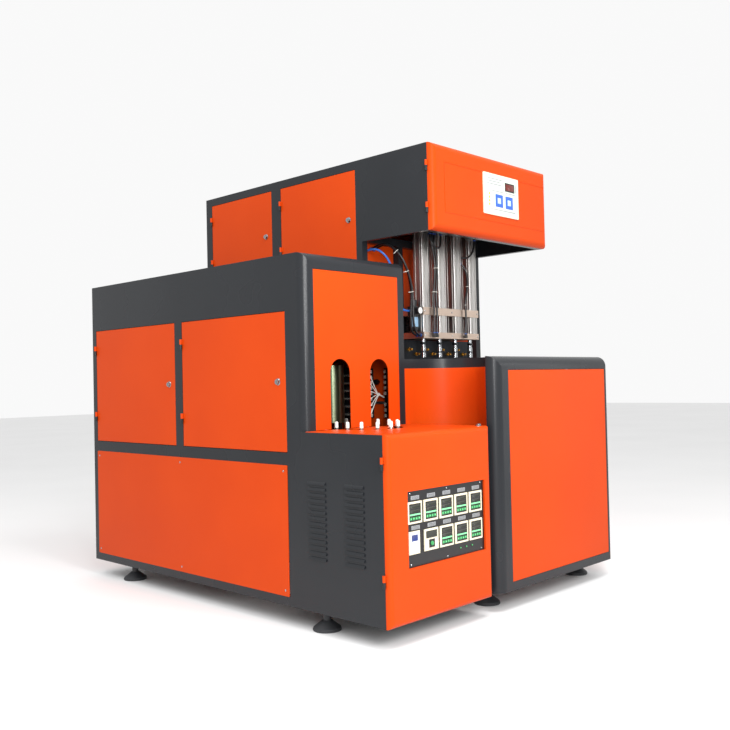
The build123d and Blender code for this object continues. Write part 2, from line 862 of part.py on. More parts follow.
def make_control_box():
    """Shell with louvres, slotted top plate, and dished door with the instrument window."""
    top = box_height - sheet
    shell = span((0, box_door_depth, 0), (sheet, oven_front, top))
    shell += span((box_width - sheet, box_door_depth, 0), (box_width, oven_front, top))
    shell += span((0, box_door_depth, 0), (box_width, oven_front, sheet))
    bulges = []
    hollows = []
    for y in louvre_columns:
        for i in range(louvre_count):
            outer, inner = louvre(y, louvre_low + i * louvre_pitch)
            bulges.append(outer)
            hollows.append(inner)
    shell = shell.fuse(*bulges).cut(*hollows)
    node("control_box_shell", shell)

    plate = span((0, box_door_depth, top), (box_width, oven_front, box_height))
    half = slot_width / 2
    centre = Pos(chain_centre_x, chain_front_y, top)
    outer = centre * Cylinder(pitch_radius + half, sheet, align=(Align.CENTER, Align.CENTER, Align.MIN))
    outer += span(
        (chain_centre_x - pitch_radius - half, chain_front_y, top),
        (chain_centre_x + pitch_radius + half, oven_front, box_height),
    )
    island = centre * Cylinder(pitch_radius - half, sheet, align=(Align.CENTER, Align.CENTER, Align.MIN))
    island += span(
        (chain_centre_x - pitch_radius + half, chain_front_y, top),
        (chain_centre_x + pitch_radius - half, oven_front, box_height),
    )
    island &= span((0, box_door_depth, top), (box_width, oven_front, box_height))
    plate -= outer
    plate -= rod(box_lock_x, box_lock_y, top, lock_shaft_radius + running_clearance, sheet)
    node("control_box_top", plate, island)

    lock = rod(box_lock_x, box_lock_y, box_height, lock_head_radius, lock_projection)
    tongue_z = top - 27
    lock += rod(box_lock_x, box_lock_y, tongue_z, lock_shaft_radius, box_height - tongue_z)
    half = tongue_width / 2
    lock += span(
        (box_lock_x - top_tongue_reach, box_lock_y - half, tongue_z - tongue_thickness),
        (box_lock_x + half, box_lock_y + half, tongue_z),
    )
    face_z = box_height + lock_projection
    lock -= span((box_lock_x - 7, box_lock_y - 1.5, face_z - 3), (box_lock_x + 7, box_lock_y + 1.5, face_z))
    node("control_box_lock", lock)

    door = dished_door(0, box_width, 0, box_door_depth - 1, 0, box_height, box_rounding)
    window = span((window_left, 0, window_low), (window_right, window_recess, window_high))
    rim = span(
        (window_left - sheet, sheet, window_low - sheet),
        (window_right + sheet, window_recess, window_high + sheet),
    )
    door = door + rim - window
    for split in box_hinge_splits:
        fixed, door_half = hinge_halves(0, box_door_depth - 1, split)
        hinge_pins.append(fixed)
        door += door_half
    node("control_box_door", door)


def dished_door(left, right, front, depth, low, high, radius):
    """Dished front door, its front edges well rounded."""

    def block(inset):
        solid = span(
            (left + inset, front + inset, low + inset),
            (right - inset, front + depth, high - inset),
        )
        return fillet(solid.faces().sort_by(Axis.Y)[0].edges(), radius - inset)

    return block(0) - block(sheet)


def instrument_places():
    """Left edge, lower edge, width and height of each instrument in the window."""
    places = []
    first = window_left + controller_margin
    upper, lower = [window_low + rise - controller_size / 2 for rise in controller_rows]
    for i in range(5):
        places.append((first + i * controller_pitch, upper, controller_size, controller_size))
    for i in range(1, 5):
        places.append((first + i * controller_pitch, lower, controller_size, controller_size))
    places.append((first + 6, lower - 2, 72.0, 100.0))
    return places


def make_instruments():
    """Black instrument panel in the door, with panel-mounted controllers and a counter."""
    back = window_recess + 3
    panel = span(
        (window_left - 8, window_recess, window_low - 8),
        (window_right + 8, back, window_high + 8),
    )
    bodies = []
    for left, low, width, height in instrument_places():
        bezel = span((left, window_recess - 7, low), (left + width, window_recess, low + height))
        bezel = chamfer(bezel.faces().sort_by(Axis.Y)[0].edges(), 2)
        case = span(
            (left + 4, window_recess, low + 4),
            (left + width - 4, window_recess + controller_depth, low + height - 4),
        )
        display = span(
            (left + 8, window_recess - 7, low + 8),
            (left + width - 8, window_recess - 5, low + height - 8),
        )
        bodies.append(bezel + case - display)
        panel -= span((left + 3, window_recess, low + 3), (left + width - 3, back, low + height - 3))
    node("instrument_panel", panel)
    node("controllers", *bodies)


def make_station_frame():
    """Front surround and panel of the station, its base tubes, and the tower's posts and rails."""
    left, right = station_left, station_right
    surround = formed_shell((left, 0, 0), (right, post_depth, base_height), post_radius, tube_wall)
    window = (left + post_width, right - panel_margin, tube, base_height - rail_height)
    surround -= span((window[0], 0, window[2]), (window[1], tube_wall, window[3]))
    node("station_surround", surround)
    panel = span(
        (window[0] + seam, 0, window[2] + seam),
        (window[1] - seam, sheet, window[3] - seam),
    )
    for x in (window[0] + seam, window[1] - seam - 20):
        panel += span((x, sheet, window[2] + seam), (x + 20, post_depth, window[2] + seam + 20))
        panel += span((x, sheet, window[3] - seam - 20), (x + 20, post_depth, window[3] - seam))
    node("station_front_panel", panel)

    inner = right - tube
    front = post_depth
    tower = base_depth
    back = tower_edges_back[1] + seam
    rail = base_height - tube - table_thickness
    beam = clamp_beam_low - tube
    left_post = cove_centre_y + cove_radius + cove_rail_depth + seam
    members = [
        bar((front_post_x, front, 0), (front_post_x + tube, front + tube, rail)),
        bar((inner, front, 0), (right, front + tube, rail)),
        bar((left, left_post, 0), (left + tube, left_post + tube, rail)),
        bar((left, left_post, rail), (left + tube, tower, rail + tube)),
        bar((inner, front, rail), (right, tower, rail + tube)),
        bar((left + 160, front, rail), (inner, front + tube, rail + tube)),
        bar((front_post_x + tube, front, 0), (inner, front + tube, tube)),
        bar((front_post_x + tube, front, beam), (inner, front + tube, clamp_beam_low)),
        bar((left, left_post + tube, 0), (left + tube, tower, tube)),
        bar((inner, front + tube, 0), (right, tower, tube)),
        bar((left, back, 0), (left + tube, tower_back, tower_height)),
        bar((inner, back, 0), (right, tower_back, tower_height)),
        bar((left, tower, 0), (left + tube, tower + tube, tower_height)),
        bar((inner, tower, 0), (right, tower + tube, tower_height)),
    ]
    mullion = (tower_edges_back[0] + seam, tower_edges_front[1] - seam)
    door_low = tower_door_low - seam
    door_high = tower_door_high + seam
    side = (tower + tube, back)
    members += [
        bar((left, mullion[0], door_low), (left + tube, mullion[1], door_high)),
        bar((left, side[0], door_low - tube), (left + tube, side[1], door_low)),
        bar((left, side[0], door_high), (left + tube, side[1], tower_height)),
        bar((inner, side[0], tower_height - tube), (right, side[1], tower_height)),
        bar((left, side[0], 0), (left + tube, side[1], tube)),
        bar((inner, side[0], 0), (right, side[1], tube)),
    ]
    for y in (tower, back):
        for low in (0, tower_height - tube):
            members.append(bar((left + tube, y, low), (inner, y + tube, low + tube)))
    half = foot_plate_side / 2
    members.append(
        span(
            (front_post_x + tube / 2 - half, front + tube, 0),
            (front_post_x + tube / 2 + half, station_feet_y[0] + half, foot_plate_thickness),
        )
    )
    feet_y = (*station_feet_y, tower_back - station_feet_setback)
    members += [foot_plate(station_feet_x[0], y, left + tube) for y in feet_y[1:]]
    members += [foot_plate(station_feet_x[1], y, inner) for y in feet_y]
    for low in (beam, rail, head_low):
        members.append(bar((left + tube, tower, low), (inner, tower + tube, low + tube)))
    for x in (station_centre - clamp_beam_spacing / 2, station_centre + clamp_beam_spacing / 2):
        low = (x - clamp_beam_width / 2, front, clamp_beam_low)
        members.append(bar(low, (x + clamp_beam_width / 2, tower + tube, platen_low)))
    for x in (station_centre - column_spacing / 2, station_centre + column_spacing / 2):
        low = (x - clamp_beam_width / 2, tower, rail + tube)
        members.append(bar(low, (x + clamp_beam_width / 2, tower + clamp_beam_width, head_low)))
    node("station_frame", *members)

    edge = side[0], side[1]
    low_side = span((left, edge[0], tube), (left + sheet, edge[1], door_low - tube))
    right_side = span((right - sheet, edge[0], tube), (right, edge[1], tower_height - tube))
    base_side = span((right - sheet, front + tube, tube), (right, tower, rail))
    rear = span((left + tube, tower_back - sheet, tube), (inner, tower_back, tower_height - tube))
    node("station_side_panels", low_side, right_side, base_side, rear)
    backplate = span((left + tube, tower + tube - sheet, rail + tube), (inner, tower + tube, head_low))
    node("blow_backplate", backplate)
    lid = span((left + tube, tower + tube, tower_height - sheet), (inner, back, tower_height))
    node("tower_covers", lid)


def make_cove():
    """Curved panel from the oven's corner to the station's post, its top rail, and the table behind it."""

    def arc_band(inner, outer, low, high):
        band = Pos(cove_centre_x, cove_centre_y, low) * Cylinder(
            outer, high - low, align=(Align.CENTER, Align.CENTER, Align.MIN)
        )
        band -= rod(cove_centre_x, cove_centre_y, low, inner, high - low)
        end = radians(cove_end_angle)
        reach = 2 * outer
        keep = Polyline(
            (cove_centre_x, cove_centre_y + reach),
            (cove_centre_x, cove_centre_y),
            (cove_centre_x + reach * cos(end), cove_centre_y + reach * sin(end)),
            (cove_centre_x + reach, cove_centre_y - reach),
            (cove_centre_x + reach, cove_centre_y + reach),
            close=True,
        )
        band &= Pos(0, 0, low) * extrude(make_face(keep), high - low)
        band += span(
            (oven_width, cove_centre_y + inner, low),
            (cove_centre_x, cove_centre_y + outer, high),
        )
        back = cove_centre_y + outer
        return band & span((oven_width, post_depth + touch, low), (station_right, back, high))

    split = base_height - cove_rail_height
    node("cove_panel", arc_band(cove_radius, cove_radius + sheet, cove_low, split))
    rail_outer = cove_radius + cove_rail_depth
    node("cove_rail", arc_band(cove_radius, rail_outer, split, base_height))

    table_low = base_height - table_thickness
    front = post_depth
    table = span((station_left, front, table_low), (station_right, base_depth, base_height))
    table -= rod(cove_centre_x, cove_centre_y, table_low, rail_outer + touch, table_thickness)
    table -= span(
        (station_centre - well_width / 2, well_front, table_low),
        (station_centre + well_width / 2, base_depth - well_back_margin, base_height),
    )
    node("table_plate", table)


def make_tower_doors():
    """Two hinged doors on the tower's left side, with their locks."""
    for name, front_y, back_y in zip(("front", "rear"), tower_edges_front, tower_edges_back):
        door, fixed, lock = side_door(
            station_left, front_y, back_y, tower_door_low, tower_door_high, tower_hinge_splits
        )
        node(f"tower_door_{name}", door)
        node(f"tower_lock_{name}", lock)
        hinge_pins.extend(fixed)


def make_head():
    """Overhanging head: folded shell open below, rounded door and keypad."""
    left, right = station_left, station_right
    front = head_front + head_door_depth
    shell = span((left, front, head_low), (right, base_depth, tower_height))
    shell -= span((left + sheet, front, head_low), (right - sheet, base_depth, tower_height - sheet))
    for low_x, high_x in ((left, left + head_lip), (right - head_lip, right)):
        shell += span((low_x, front, head_low), (high_x, base_depth, head_low + sheet))
    shell += span((left, front, head_low), (right, front + head_lip, head_low + sheet))
    node("head_shell", shell)

    depth = head_door_depth - 1
    door = dished_door(left, right, head_front, depth, head_low, tower_height, head_door_rounding)
    frame = span(
        (left + head_inset, head_front, head_low + head_inset),
        (right - 12, head_front + 1.5, tower_height - head_inset),
    )
    groove = frame - span(
        (left + head_inset + head_fold, head_front, head_low + head_inset + head_fold),
        (right - 12 - head_fold, head_front + 1.5, tower_height - head_inset - head_fold),
    )
    door -= groove
    for split in head_hinge_splits:
        fixed, door_half = hinge_halves(left, front - 1, split)
        hinge_pins.append(fixed)
        door += door_half
    keypad_x = left + keypad_left
    keypad_z = head_low + keypad_low
    cutout = span(
        (keypad_x + 12, head_front, keypad_z + 12),
        (keypad_x + keypad_width - 12, head_front + sheet, keypad_z + keypad_height - 12),
    )
    node("head_door", door - cutout)
    pad = span(
        (keypad_x, head_front - keypad_rise, keypad_z),
        (keypad_x + keypad_width, head_front, keypad_z + keypad_height),
    )
    pad = fillet(pad.edges().filter_by(Axis.Y), 6)
    pad += span(
        (keypad_x + 14, head_front, keypad_z + 14),
        (keypad_x + keypad_width - 14, head_front + keypad_depth, keypad_z + keypad_height - 14),
    )
    window_width, window_height = keypad_window
    window_x = keypad_x + keypad_width * 0.62
    window_z = keypad_z + keypad_height * 0.66
    pad -= span(
        (window_x, head_front - keypad_rise, window_z),
        (window_x + window_width, head_front - keypad_rise + 2, window_z + window_height),
    )
    node("keypad", pad)


def bottle(x, y):
    """Solid of the bottle in the mould, neck upwards."""
    base = mould_low + mould_floor
    neck = mould_high - neck_length
    shoulder = neck - shoulder_length
    outline = Polyline(
        (0, base),
        (cavity_radius - base_chamfer, base),
        (cavity_radius, base + base_chamfer),
        (cavity_radius, shoulder),
        (neck_radius, neck),
        (neck_radius, mould_high),
        (0, mould_high),
        close=True,
    )
    return Pos(x, y, 0) * revolve(Plane.XZ * make_face(outline), Axis.Z)


def make_mould():
    """Fixed and moving mould halves with their platens, tie bars and the clamp cylinder."""
    centre = station_centre
    half_width = mould_width / 2
    platen_half = platen_width / 2
    rear = (row_y + touch, row_y + touch + mould_depth)
    front_face = row_y - touch - mould_stroke
    front = (front_face - mould_depth, front_face)

    def mould_half(low_y, high_y, cavity_y):
        block = span((centre - half_width, low_y, mould_low), (centre + half_width, high_y, mould_high))
        return block - [bottle(x, cavity_y) for x in row_x]

    node("mould_half_rear", mould_half(*rear, row_y))
    node("mould_half_front", mould_half(*front, row_y - mould_stroke))

    def platen(low_y, high_y, high_z, hole_radius):
        plate = span((centre - platen_half, low_y, platen_low), (centre + platen_half, high_y, high_z))
        holes = []
        for x in (centre - tie_bar_offset, centre + tie_bar_offset):
            for z in (platen_low + tie_bar_inset, platen_high - tie_bar_inset):
                holes.append(rod(x, low_y, z, hole_radius, high_y - low_y, (0, 1, 0)))
        return plate - holes

    running = tie_bar_radius + running_clearance
    rear_platen_back = rear[1] + platen_thickness
    node("rear_platen", platen(rear[1], rear_platen_back, rear_platen_high, tie_bar_radius))
    moving_front = front[0] - platen_thickness
    moving = platen(moving_front, front[0], platen_high, running)
    rod_end = moving_front - clamp_boss
    moving += rod(centre, rod_end, clamp_axis_z, clamp_rod_radius + 14, clamp_boss, (0, 1, 0))
    node("moving_platen", moving)
    clamp_back = clamp_plate_y + platen_thickness
    node("clamp_plate", platen(clamp_plate_y, clamp_back, platen_high, tie_bar_radius))
    bars = []
    for x in (centre - tie_bar_offset, centre + tie_bar_offset):
        for z in (platen_low + tie_bar_inset, platen_high - tie_bar_inset):
            length = rear_platen_back - clamp_plate_y + 2 * tie_bar_end
            bars.append(rod(x, clamp_plate_y - tie_bar_end, z, tie_bar_radius, length, (0, 1, 0)))
    node("tie_bars", *bars)

    cylinder_end = moving_front - clamp_rod_free
    cylinder = rod(
        centre, clamp_back, clamp_axis_z, clamp_cylinder_radius, cylinder_end - clamp_back, (0, 1, 0)
    )
    cap_side = 2 * (clamp_cylinder_radius + clamp_cap_margin)
    for y in (clamp_back, cylinder_end - clamp_cap_length):
        cylinder += Pos(centre, y, clamp_axis_z) * Box(
            cap_side, clamp_cap_length, cap_side, align=(Align.CENTER, Align.MIN, Align.CENTER)
        )
    rod_start = clamp_back + clamp_cap_length
    bore_radius = clamp_rod_radius + running_clearance
    cylinder -= rod(centre, rod_start, clamp_axis_z, bore_radius, cylinder_end - rod_start, (0, 1, 0))
    node("clamp_cylinder", cylinder)
    rod_tail = rod_start + touch
    node("clamp_rod", rod(centre, rod_tail, clamp_axis_z, clamp_rod_radius, rod_end - rod_tail, (0, 1, 0)))


def make_blow_unit():
    """Stretch cylinders, blow cylinders between the two plates, stretch rods and nozzles."""
    half = profile_side / 2
    plate_front = row_y - plate_overhang
    plate_back = base_depth
    bore = bore_radius

    def profile_body(x, low, high):
        outline = Rectangle(profile_side, profile_side)
        outline = fillet(outline.vertices(), 5)
        groove = Rectangle(groove_width, groove_depth * 2)
        for turn in (0, 90, 180, 270):
            outline -= Rot(0, 0, turn) * Pos(half * 0.5, half) * groove
            outline -= Rot(0, 0, turn) * Pos(-half * 0.5, half) * groove
        return Pos(x, row_y, low) * extrude(outline, high - low)

    cylinders = []
    blow = []
    rods = []
    nozzles = []
    upper_plate = span(
        (station_centre - plate_width / 2, plate_front, blow_high),
        (station_centre + plate_width / 2, plate_back, stretch_low),
    )
    lower_plate = span(
        (station_centre - plate_width / 2, plate_front, lower_plate_low),
        (station_centre + plate_width / 2, plate_back, stretch_base),
    )
    rod_hole = stretch_rod_radius + running_clearance
    nozzle_hole = nozzle_radius + running_clearance
    for x in row_x:
        barrel = profile_body(x, stretch_low, stretch_high)
        barrel -= rod(x, row_y, stretch_low + end_cap, bore, stretch_high - stretch_low - 2 * end_cap)
        barrel -= rod(x, row_y, stretch_low, rod_hole, end_cap)
        cylinders.append(barrel)
        piston_high = stretch_high - end_cap - touch
        tip = nozzle_low + rod_recess
        stretch = rod(x, row_y, tip, stretch_rod_radius, piston_high - tip)
        stretch += rod(x, row_y, piston_high - piston_length, bore - running_clearance, piston_length)
        rods.append(stretch)

        chamber_low = stretch_base + end_cap
        chamber_high = blow_high - end_cap
        short = profile_body(x, stretch_base, blow_high)
        short -= rod(x, row_y, chamber_low, bore, chamber_high - chamber_low)
        short -= rod(x, row_y, stretch_base, nozzle_hole, end_cap)
        short -= rod(x, row_y, chamber_high, rod_hole, end_cap)
        blow.append(short)
        upper_plate -= rod(x, row_y, blow_high, rod_hole, upper_plate_thickness)
        lower_plate -= rod(x, row_y, lower_plate_low, nozzle_hole, lower_plate_thickness)
        nozzle = rod(x, row_y, nozzle_low, nozzle_radius, chamber_high - touch - nozzle_low)
        piston_low = chamber_high - touch - nozzle_piston
        nozzle += rod(x, row_y, piston_low, bore - running_clearance, nozzle_piston)
        nozzle += rod(x, row_y, nozzle_low, nozzle_foot_radius, nozzle_foot_height)
        nozzle -= rod(x, row_y, nozzle_low, rod_hole, chamber_high - nozzle_low)
        nozzles.append(nozzle)
    node("stretch_cylinders", *cylinders)
    node("blow_cylinders", *blow)
    node("cylinder_plates", upper_plate, lower_plate)
    node("stretch_rods", *rods)
    node("blow_nozzles", *nozzles)


def cord(name, points, radius):
    """Round cord along straight runs joined by arcs as large as the runs allow."""
    points = [Vector(*point) for point in points]
    radii = []
    for before, corner, after in zip(points, points[1:], points[2:]):
        first = corner - before
        second = after - corner
        turn = radians(first.get_angle(second))
        radii.append(0.45 * min(first.length, second.length) / tan(turn / 2))
    path = FilletPolyline(*points, radius=radii)
    solid = sweep(Plane(origin=path @ 0, z_dir=path % 0) * Circle(radius), path=path)
    share = solid.volume / (pi * radius**2 * path.length)
    radii = [round(value) for value in radii]
    print(name, "length", round(path.length), "radii", radii, "volume", round(share, 4))
    return solid


def make_air_lines():
    """Valve manifold in the head, regulator beside the plates, and the hoses that hang between them."""
    face = row_y - profile_side / 2
    manifold_low = head_low + manifold_rise
    half = manifold_length / 2
    manifold = span(
        (station_centre - half, face - manifold_depth, manifold_low),
        (station_centre + half, face, manifold_low + manifold_height),
    )

    right = station_centre - plate_width / 2
    left = right - regulator_width
    low = stretch_low + regulator_rise - regulator_height
    x = (left + right) / 2
    y = row_y + regulator_setback
    half = regulator_width / 2
    regulator = span((left, y - half, low), (right, y + half, low + regulator_height))
    bowl = rod(x, y, low - bowl_length, bowl_radius, bowl_length)
    bowl = fillet(bowl.faces().sort_by(Axis.Z)[0].edges(), bowl_radius / 2)
    regulator += bowl + rod(x, y, low + regulator_height, knob_radius, knob_height)

    towards = {"up": (0, 0, 1), "left": (-1, 0, 0), "right": (1, 0, 0), "back": (0, 1, 0)}
    fittings = []
    hoses = []
    for name, (first, last, *route) in hose_routes.items():
        points = [(station_centre + x, row_y + y, base_height + z) for x, y, z in route]
        hose = cord(name, points, hose_radius)
        hoses.append(hose)
        for kind, (x, y, z) in ((first, points[0]), (last, points[-1])):
            if kind == "elbow":
                z -= port_length
                reach = elbow_side / 2
                elbow = span((x - reach, y - reach, z - elbow_side), (x + reach, row_y - plate_overhang, z))
                fittings.append(elbow + rod(x, y, z, port_radius, port_length) - hose)
            else:
                fittings.append(rod(x, y, z, port_radius, port_length, towards[kind]) - hose)
    node("air_hoses", *hoses)
    node("air_fittings", manifold, regulator, *fittings)


def terminal_strips():
    """Two upright terminal strips on the oven's right wall, the front one with a gland for the leads."""
    wall = oven_width - sheet
    face = wall - strip_depth
    low = mid_rail_high + strip_rise
    strips = []
    for setback in strip_setbacks:
        y = oven_front + setback
        strips.append(span((face, y, low), (wall, y + strip_width, low + strip_length)))
    gland = (face, oven_front + strip_setbacks[0] + strip_width / 2, low + strip_length * 0.4)
    strips[0] += rod(*gland, gland_radius, gland_length, gather_offset)
    return strips, Vector(*gland)


def make_lamp_leads(gland):
    """Leads from the front ends of the right-hand lamps, gathered to the terminal strip's gland."""
    towards = Vector(*gather_offset)
    start = gland + towards.normalized() * gland_length
    gather = gland + towards
    bundle = rod(*start, bundle_radius, (gather - start).length, gather_offset)
    tie = Plane(origin=gather, z_dir=towards)
    bundle += tie * Cylinder(tie_radius, tie_length, align=(Align.CENTER, Align.CENTER, Align.MIN))
    x = chain_centre_x + pitch_radius + rack_offset - 18
    y = lamp_front_y - rack_margin
    leads = []
    for i in range(lamp_count):
        z = lamp_low + i * lamp_pitch
        turn = 2 * pi * i / lamp_count
        spread = (tie_radius - lead_radius - 1) * cos(turn), (tie_radius - lead_radius - 1) * sin(turn)
        end = tie.from_local_coords(Vector(*spread, tie_length / 2))
        fall = end.Z - z
        points = [(x, y, z), (x, y - 31, z), (x + 39, y - 28, z + 0.6 * fall), tuple(end)]
        leads.append(cord(f"lamp_lead_{i + 1}", points, lead_radius))
    node("lamp_leads", bundle.fuse(*leads))


def make_feet():
    """Levelling feet: a rubber-edged disc, a cone and a threaded stem under the plates."""
    places = [(x, y) for x in oven_feet_x for y in oven_feet_y]
    feet_y = (*station_feet_y, tower_back - station_feet_setback)
    places += [(station_feet_x[1], y) for y in feet_y]
    places += [(station_feet_x[0], y) for y in feet_y[1:]]
    places.append((front_post_x + tube / 2, feet_y[0]))
    solids = []
    for x, y in places:
        outline = Polyline(
            (0, -foot_height),
            (foot_radius, -foot_height),
            (foot_radius, foot_disc - foot_height),
            (foot_neck_radius, foot_disc + foot_cone - foot_height),
            (foot_stem_radius, foot_disc + foot_cone - foot_height),
            (foot_stem_radius, 0),
            (0, 0),
            close=True,
        )
        solids.append(Pos(x, y, 0) * revolve(Plane.XZ * make_face(outline), Axis.Z))
    node("levelling_feet", *solids)


def build():
    """Make every node in turn."""
    make_oven_frame()
    make_oven_covers()
    make_oven_doors()
    make_chain()
    make_drive()
    make_track()
    make_heaters()
    make_fan()
    make_control_box()
    make_instruments()
    make_station_frame()
    make_cove()
    make_tower_doors()
    make_head()
    make_mould()
    make_blow_unit()
    make_air_lines()
    make_feet()
    node("hinge_pins", *hinge_pins)


def save():
    """Move the pieces to the part's frame and write one file for each node."""
    os.makedirs("parts", exist_ok=True)
    centre_x = (station_right - outer_reach) / 2
    place = Pos(-centre_x, -oven_back / 2, foot_height)
    for name, solids in parts.items():
        export_step(Compound([place * solid for solid in solids]), f"parts/{name}.step")


build()
save()
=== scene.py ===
import math

import bpy
from mathutils import Matrix, Vector


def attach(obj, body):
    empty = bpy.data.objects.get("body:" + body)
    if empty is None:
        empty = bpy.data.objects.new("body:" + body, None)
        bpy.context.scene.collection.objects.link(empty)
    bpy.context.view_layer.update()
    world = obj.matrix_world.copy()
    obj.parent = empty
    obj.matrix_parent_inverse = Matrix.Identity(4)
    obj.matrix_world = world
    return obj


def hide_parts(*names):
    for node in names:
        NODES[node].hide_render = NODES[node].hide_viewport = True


bl_info = {
    "name": "Bottle machine finish",
    "version": (1, 0, 0),
    "blender": (4, 5, 0),
    "location": "3D View > Sidebar > Bottle machine",
    "description": "Finishes and small parts of a bottle making machine with its preform oven",
    "category": "Object",
}

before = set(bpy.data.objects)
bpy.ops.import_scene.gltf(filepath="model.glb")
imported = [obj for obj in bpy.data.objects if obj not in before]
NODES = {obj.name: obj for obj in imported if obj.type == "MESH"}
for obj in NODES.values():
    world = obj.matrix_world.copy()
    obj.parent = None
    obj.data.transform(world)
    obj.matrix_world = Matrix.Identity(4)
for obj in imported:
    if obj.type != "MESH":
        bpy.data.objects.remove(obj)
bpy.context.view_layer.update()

# The machine is drawn in millimetres from the oven's left face, the control box's front face
# and the underside of the cabinets. This corner lies here in the model's frame, in metres.
CORNER = Vector((-0.9355, -1.23, 0.095))

# Where the photograph was taken from, and how the camera was turned, in degrees.
CAMERA_PLACE = Vector((-3.6563, -3.7324, 1.155))
CAMERA_YAW = 46.0656
CAMERA_PITCH = 1.0355
CAMERA_ROLL = -1.2553
CAMERA_LENS = 42.96


def at(x, y, z):
    """Point of the machine's drawing, in the model's frame."""
    return CORNER + Vector((x, y, z)) / 1000


# Places of the drawing that several pieces share, in millimetres.
ROW_X = (1120.5, 1267.5, 1414.5, 1561.5)
PLATE_SCREW_X = (1094, 1206, 1341, 1476, 1588)
TIE_BARS = [(x, z) for x in (1029, 1653) for z in (785, 1080)]
FEET = [(x, y) for x in (78, 626) for y in (475, 2140)]
FEET += [(1808, 185), (1808, 1300), (1808, 2260), (874, 1300), (874, 2260), (933, 185)]
LAMPS = [(x, 880 + i * 42) for x in (150.3, 592.7) for i in range(6)]
CHAIN_PITCH = 76.2
CHAIN_CENTRE_X = 371.5
CHAIN_RADIUS = 147.2
CHAIN_ENDS_Y = (460, 1984)

LEFT, RIGHT, FRONT, BACK, DOWN, UP = (-1, 0, 0), (1, 0, 0), (0, -1, 0), (0, 1, 0), (0, 0, -1), (0, 0, 1)
LOCKS = (
    ("oven_lock_ring_front", (0, 701.7, 1063.5), LEFT, "oven_door_front"),
    ("oven_lock_ring_rear", (0, 1626.5, 1063.5), LEFT, "oven_door_rear"),
    ("tower_lock_ring_front", (796, 991, 1978), LEFT, "tower_door_front"),
    ("tower_lock_ring_rear", (796, 1725, 1978), LEFT, "tower_door_rear"),
    ("box_lock_ring", (708, 46, 829), UP, "machine"),
)

# Routes of the air hoses, chosen on the photograph, and which way each leaves its two fittings.
HOSES = {
    "loop_left": (
        (1130, 670, 1893), (1133, 664, 1844), (1158, 655, 1812),
        (1196, 655, 1815), (1219, 664, 1846), (1226, 670, 1893),
    ),
    "drop_left": (
        (1152, 670, 1893), (1147, 672, 1830), (1176, 676, 1745), (1174, 676, 1650),
        (1156, 675, 1545), (1163, 675, 1430), (1160, 676, 1330),
    ),
    "drop_middle": (
        (1172, 670, 1893), (1166, 673, 1832), (1194, 674, 1750), (1193, 674, 1655),
        (1175, 673, 1550), (1188, 674, 1435), (1182, 676, 1330),
    ),
    "loop_right": (
        (1461.5, 715, 1790), (1490, 692, 1783), (1521, 674, 1803), (1545, 670, 1845), (1550, 670, 1893),
    ),
    "drop_right": (
        (1461.5, 712, 1752), (1480, 696, 1735), (1487, 682, 1680), (1478, 674, 1605),
        (1450, 673, 1515), (1459, 674, 1420), (1453, 676, 1330),
    ),
    "side_front": (
        (905, 918.5, 1815), (899, 862, 1830), (893, 806, 1832), (903, 750, 1806), (935, 710, 1745),
        (975, 698, 1650), (1003, 698, 1556), (1002, 699, 1464), (1008, 702, 1372), (1032, 706, 1322),
        (1069, 708, 1313),
    ),
    "side_rear": (
        (930, 918.5, 1812), (922, 868, 1826), (916, 820, 1830), (924, 768, 1806), (953, 728, 1745),
        (990, 714, 1650), (1010, 714, 1556), (1006, 718, 1464), (1008, 724, 1376), (1022, 731, 1324),
        (1069, 736, 1313),
    ),
    "supply": (
        (862, 918.5, 1800), (860, 862, 1808), (884, 818, 1786), (925, 800, 1735), (945, 797, 1665),
        (948, 792, 1600), (940, 775, 1525), (955, 752, 1466), (985, 742, 1450), (1019, 740, 1451.5),
    ),
}
HOSE_ENDS = {
    "loop_left": (DOWN, DOWN),
    "drop_left": (DOWN, UP),
    "drop_middle": (DOWN, UP),
    "loop_right": (RIGHT, DOWN),
    "drop_right": (RIGHT, UP),
    "side_front": (FRONT, LEFT),
    "side_rear": (FRONT, LEFT),
    "supply": (FRONT, LEFT),
}


def chain_pins():
    """Centre of each pin of the preform chain, round the loop."""
    front, rear = CHAIN_ENDS_Y
    rows = range(round((rear - front) / CHAIN_PITCH))
    pins = [(CHAIN_CENTRE_X - CHAIN_RADIUS, front + i * CHAIN_PITCH) for i in rows]
    pins += [(CHAIN_CENTRE_X + CHAIN_RADIUS, rear - i * CHAIN_PITCH) for i in rows]
    for i in range(6):
        turn = math.radians(30 * i)
        aim = CHAIN_RADIUS * math.cos(turn), CHAIN_RADIUS * math.sin(turn)
        pins.append((CHAIN_CENTRE_X - aim[0], rear + aim[1]))
        pins.append((CHAIN_CENTRE_X + aim[0], front - aim[1]))
    return pins


def sizes():
    """The sizes that a user can change."""
    return bpy.context.scene.bottle_machine_sizes


def shades():
    """The colours that a user can change."""
    return bpy.context.scene.bottle_machine_shades


# Modelling, with distances in the drawing's millimetres.


def clear():
    """Leave edit mode and drop the selection."""
    if bpy.context.mode != "OBJECT":
        bpy.ops.object.mode_set(mode="OBJECT")
    bpy.ops.object.select_all(action="DESELECT")


def settle(piece, name):
    """Put the place into the mesh, point the faces outwards and name the piece."""
    clear()
    piece.select_set(True)
    bpy.context.view_layer.objects.active = piece
    bpy.ops.object.transform_apply(location=True, rotation=True, scale=True)
    bpy.ops.object.mode_set(mode="EDIT")
    bpy.ops.mesh.select_all(action="SELECT")
    bpy.ops.mesh.remove_doubles(threshold=0.000001)
    bpy.ops.mesh.normals_make_consistent(inside=False)
    bpy.ops.object.mode_set(mode="OBJECT")
    piece.name = name
    return piece


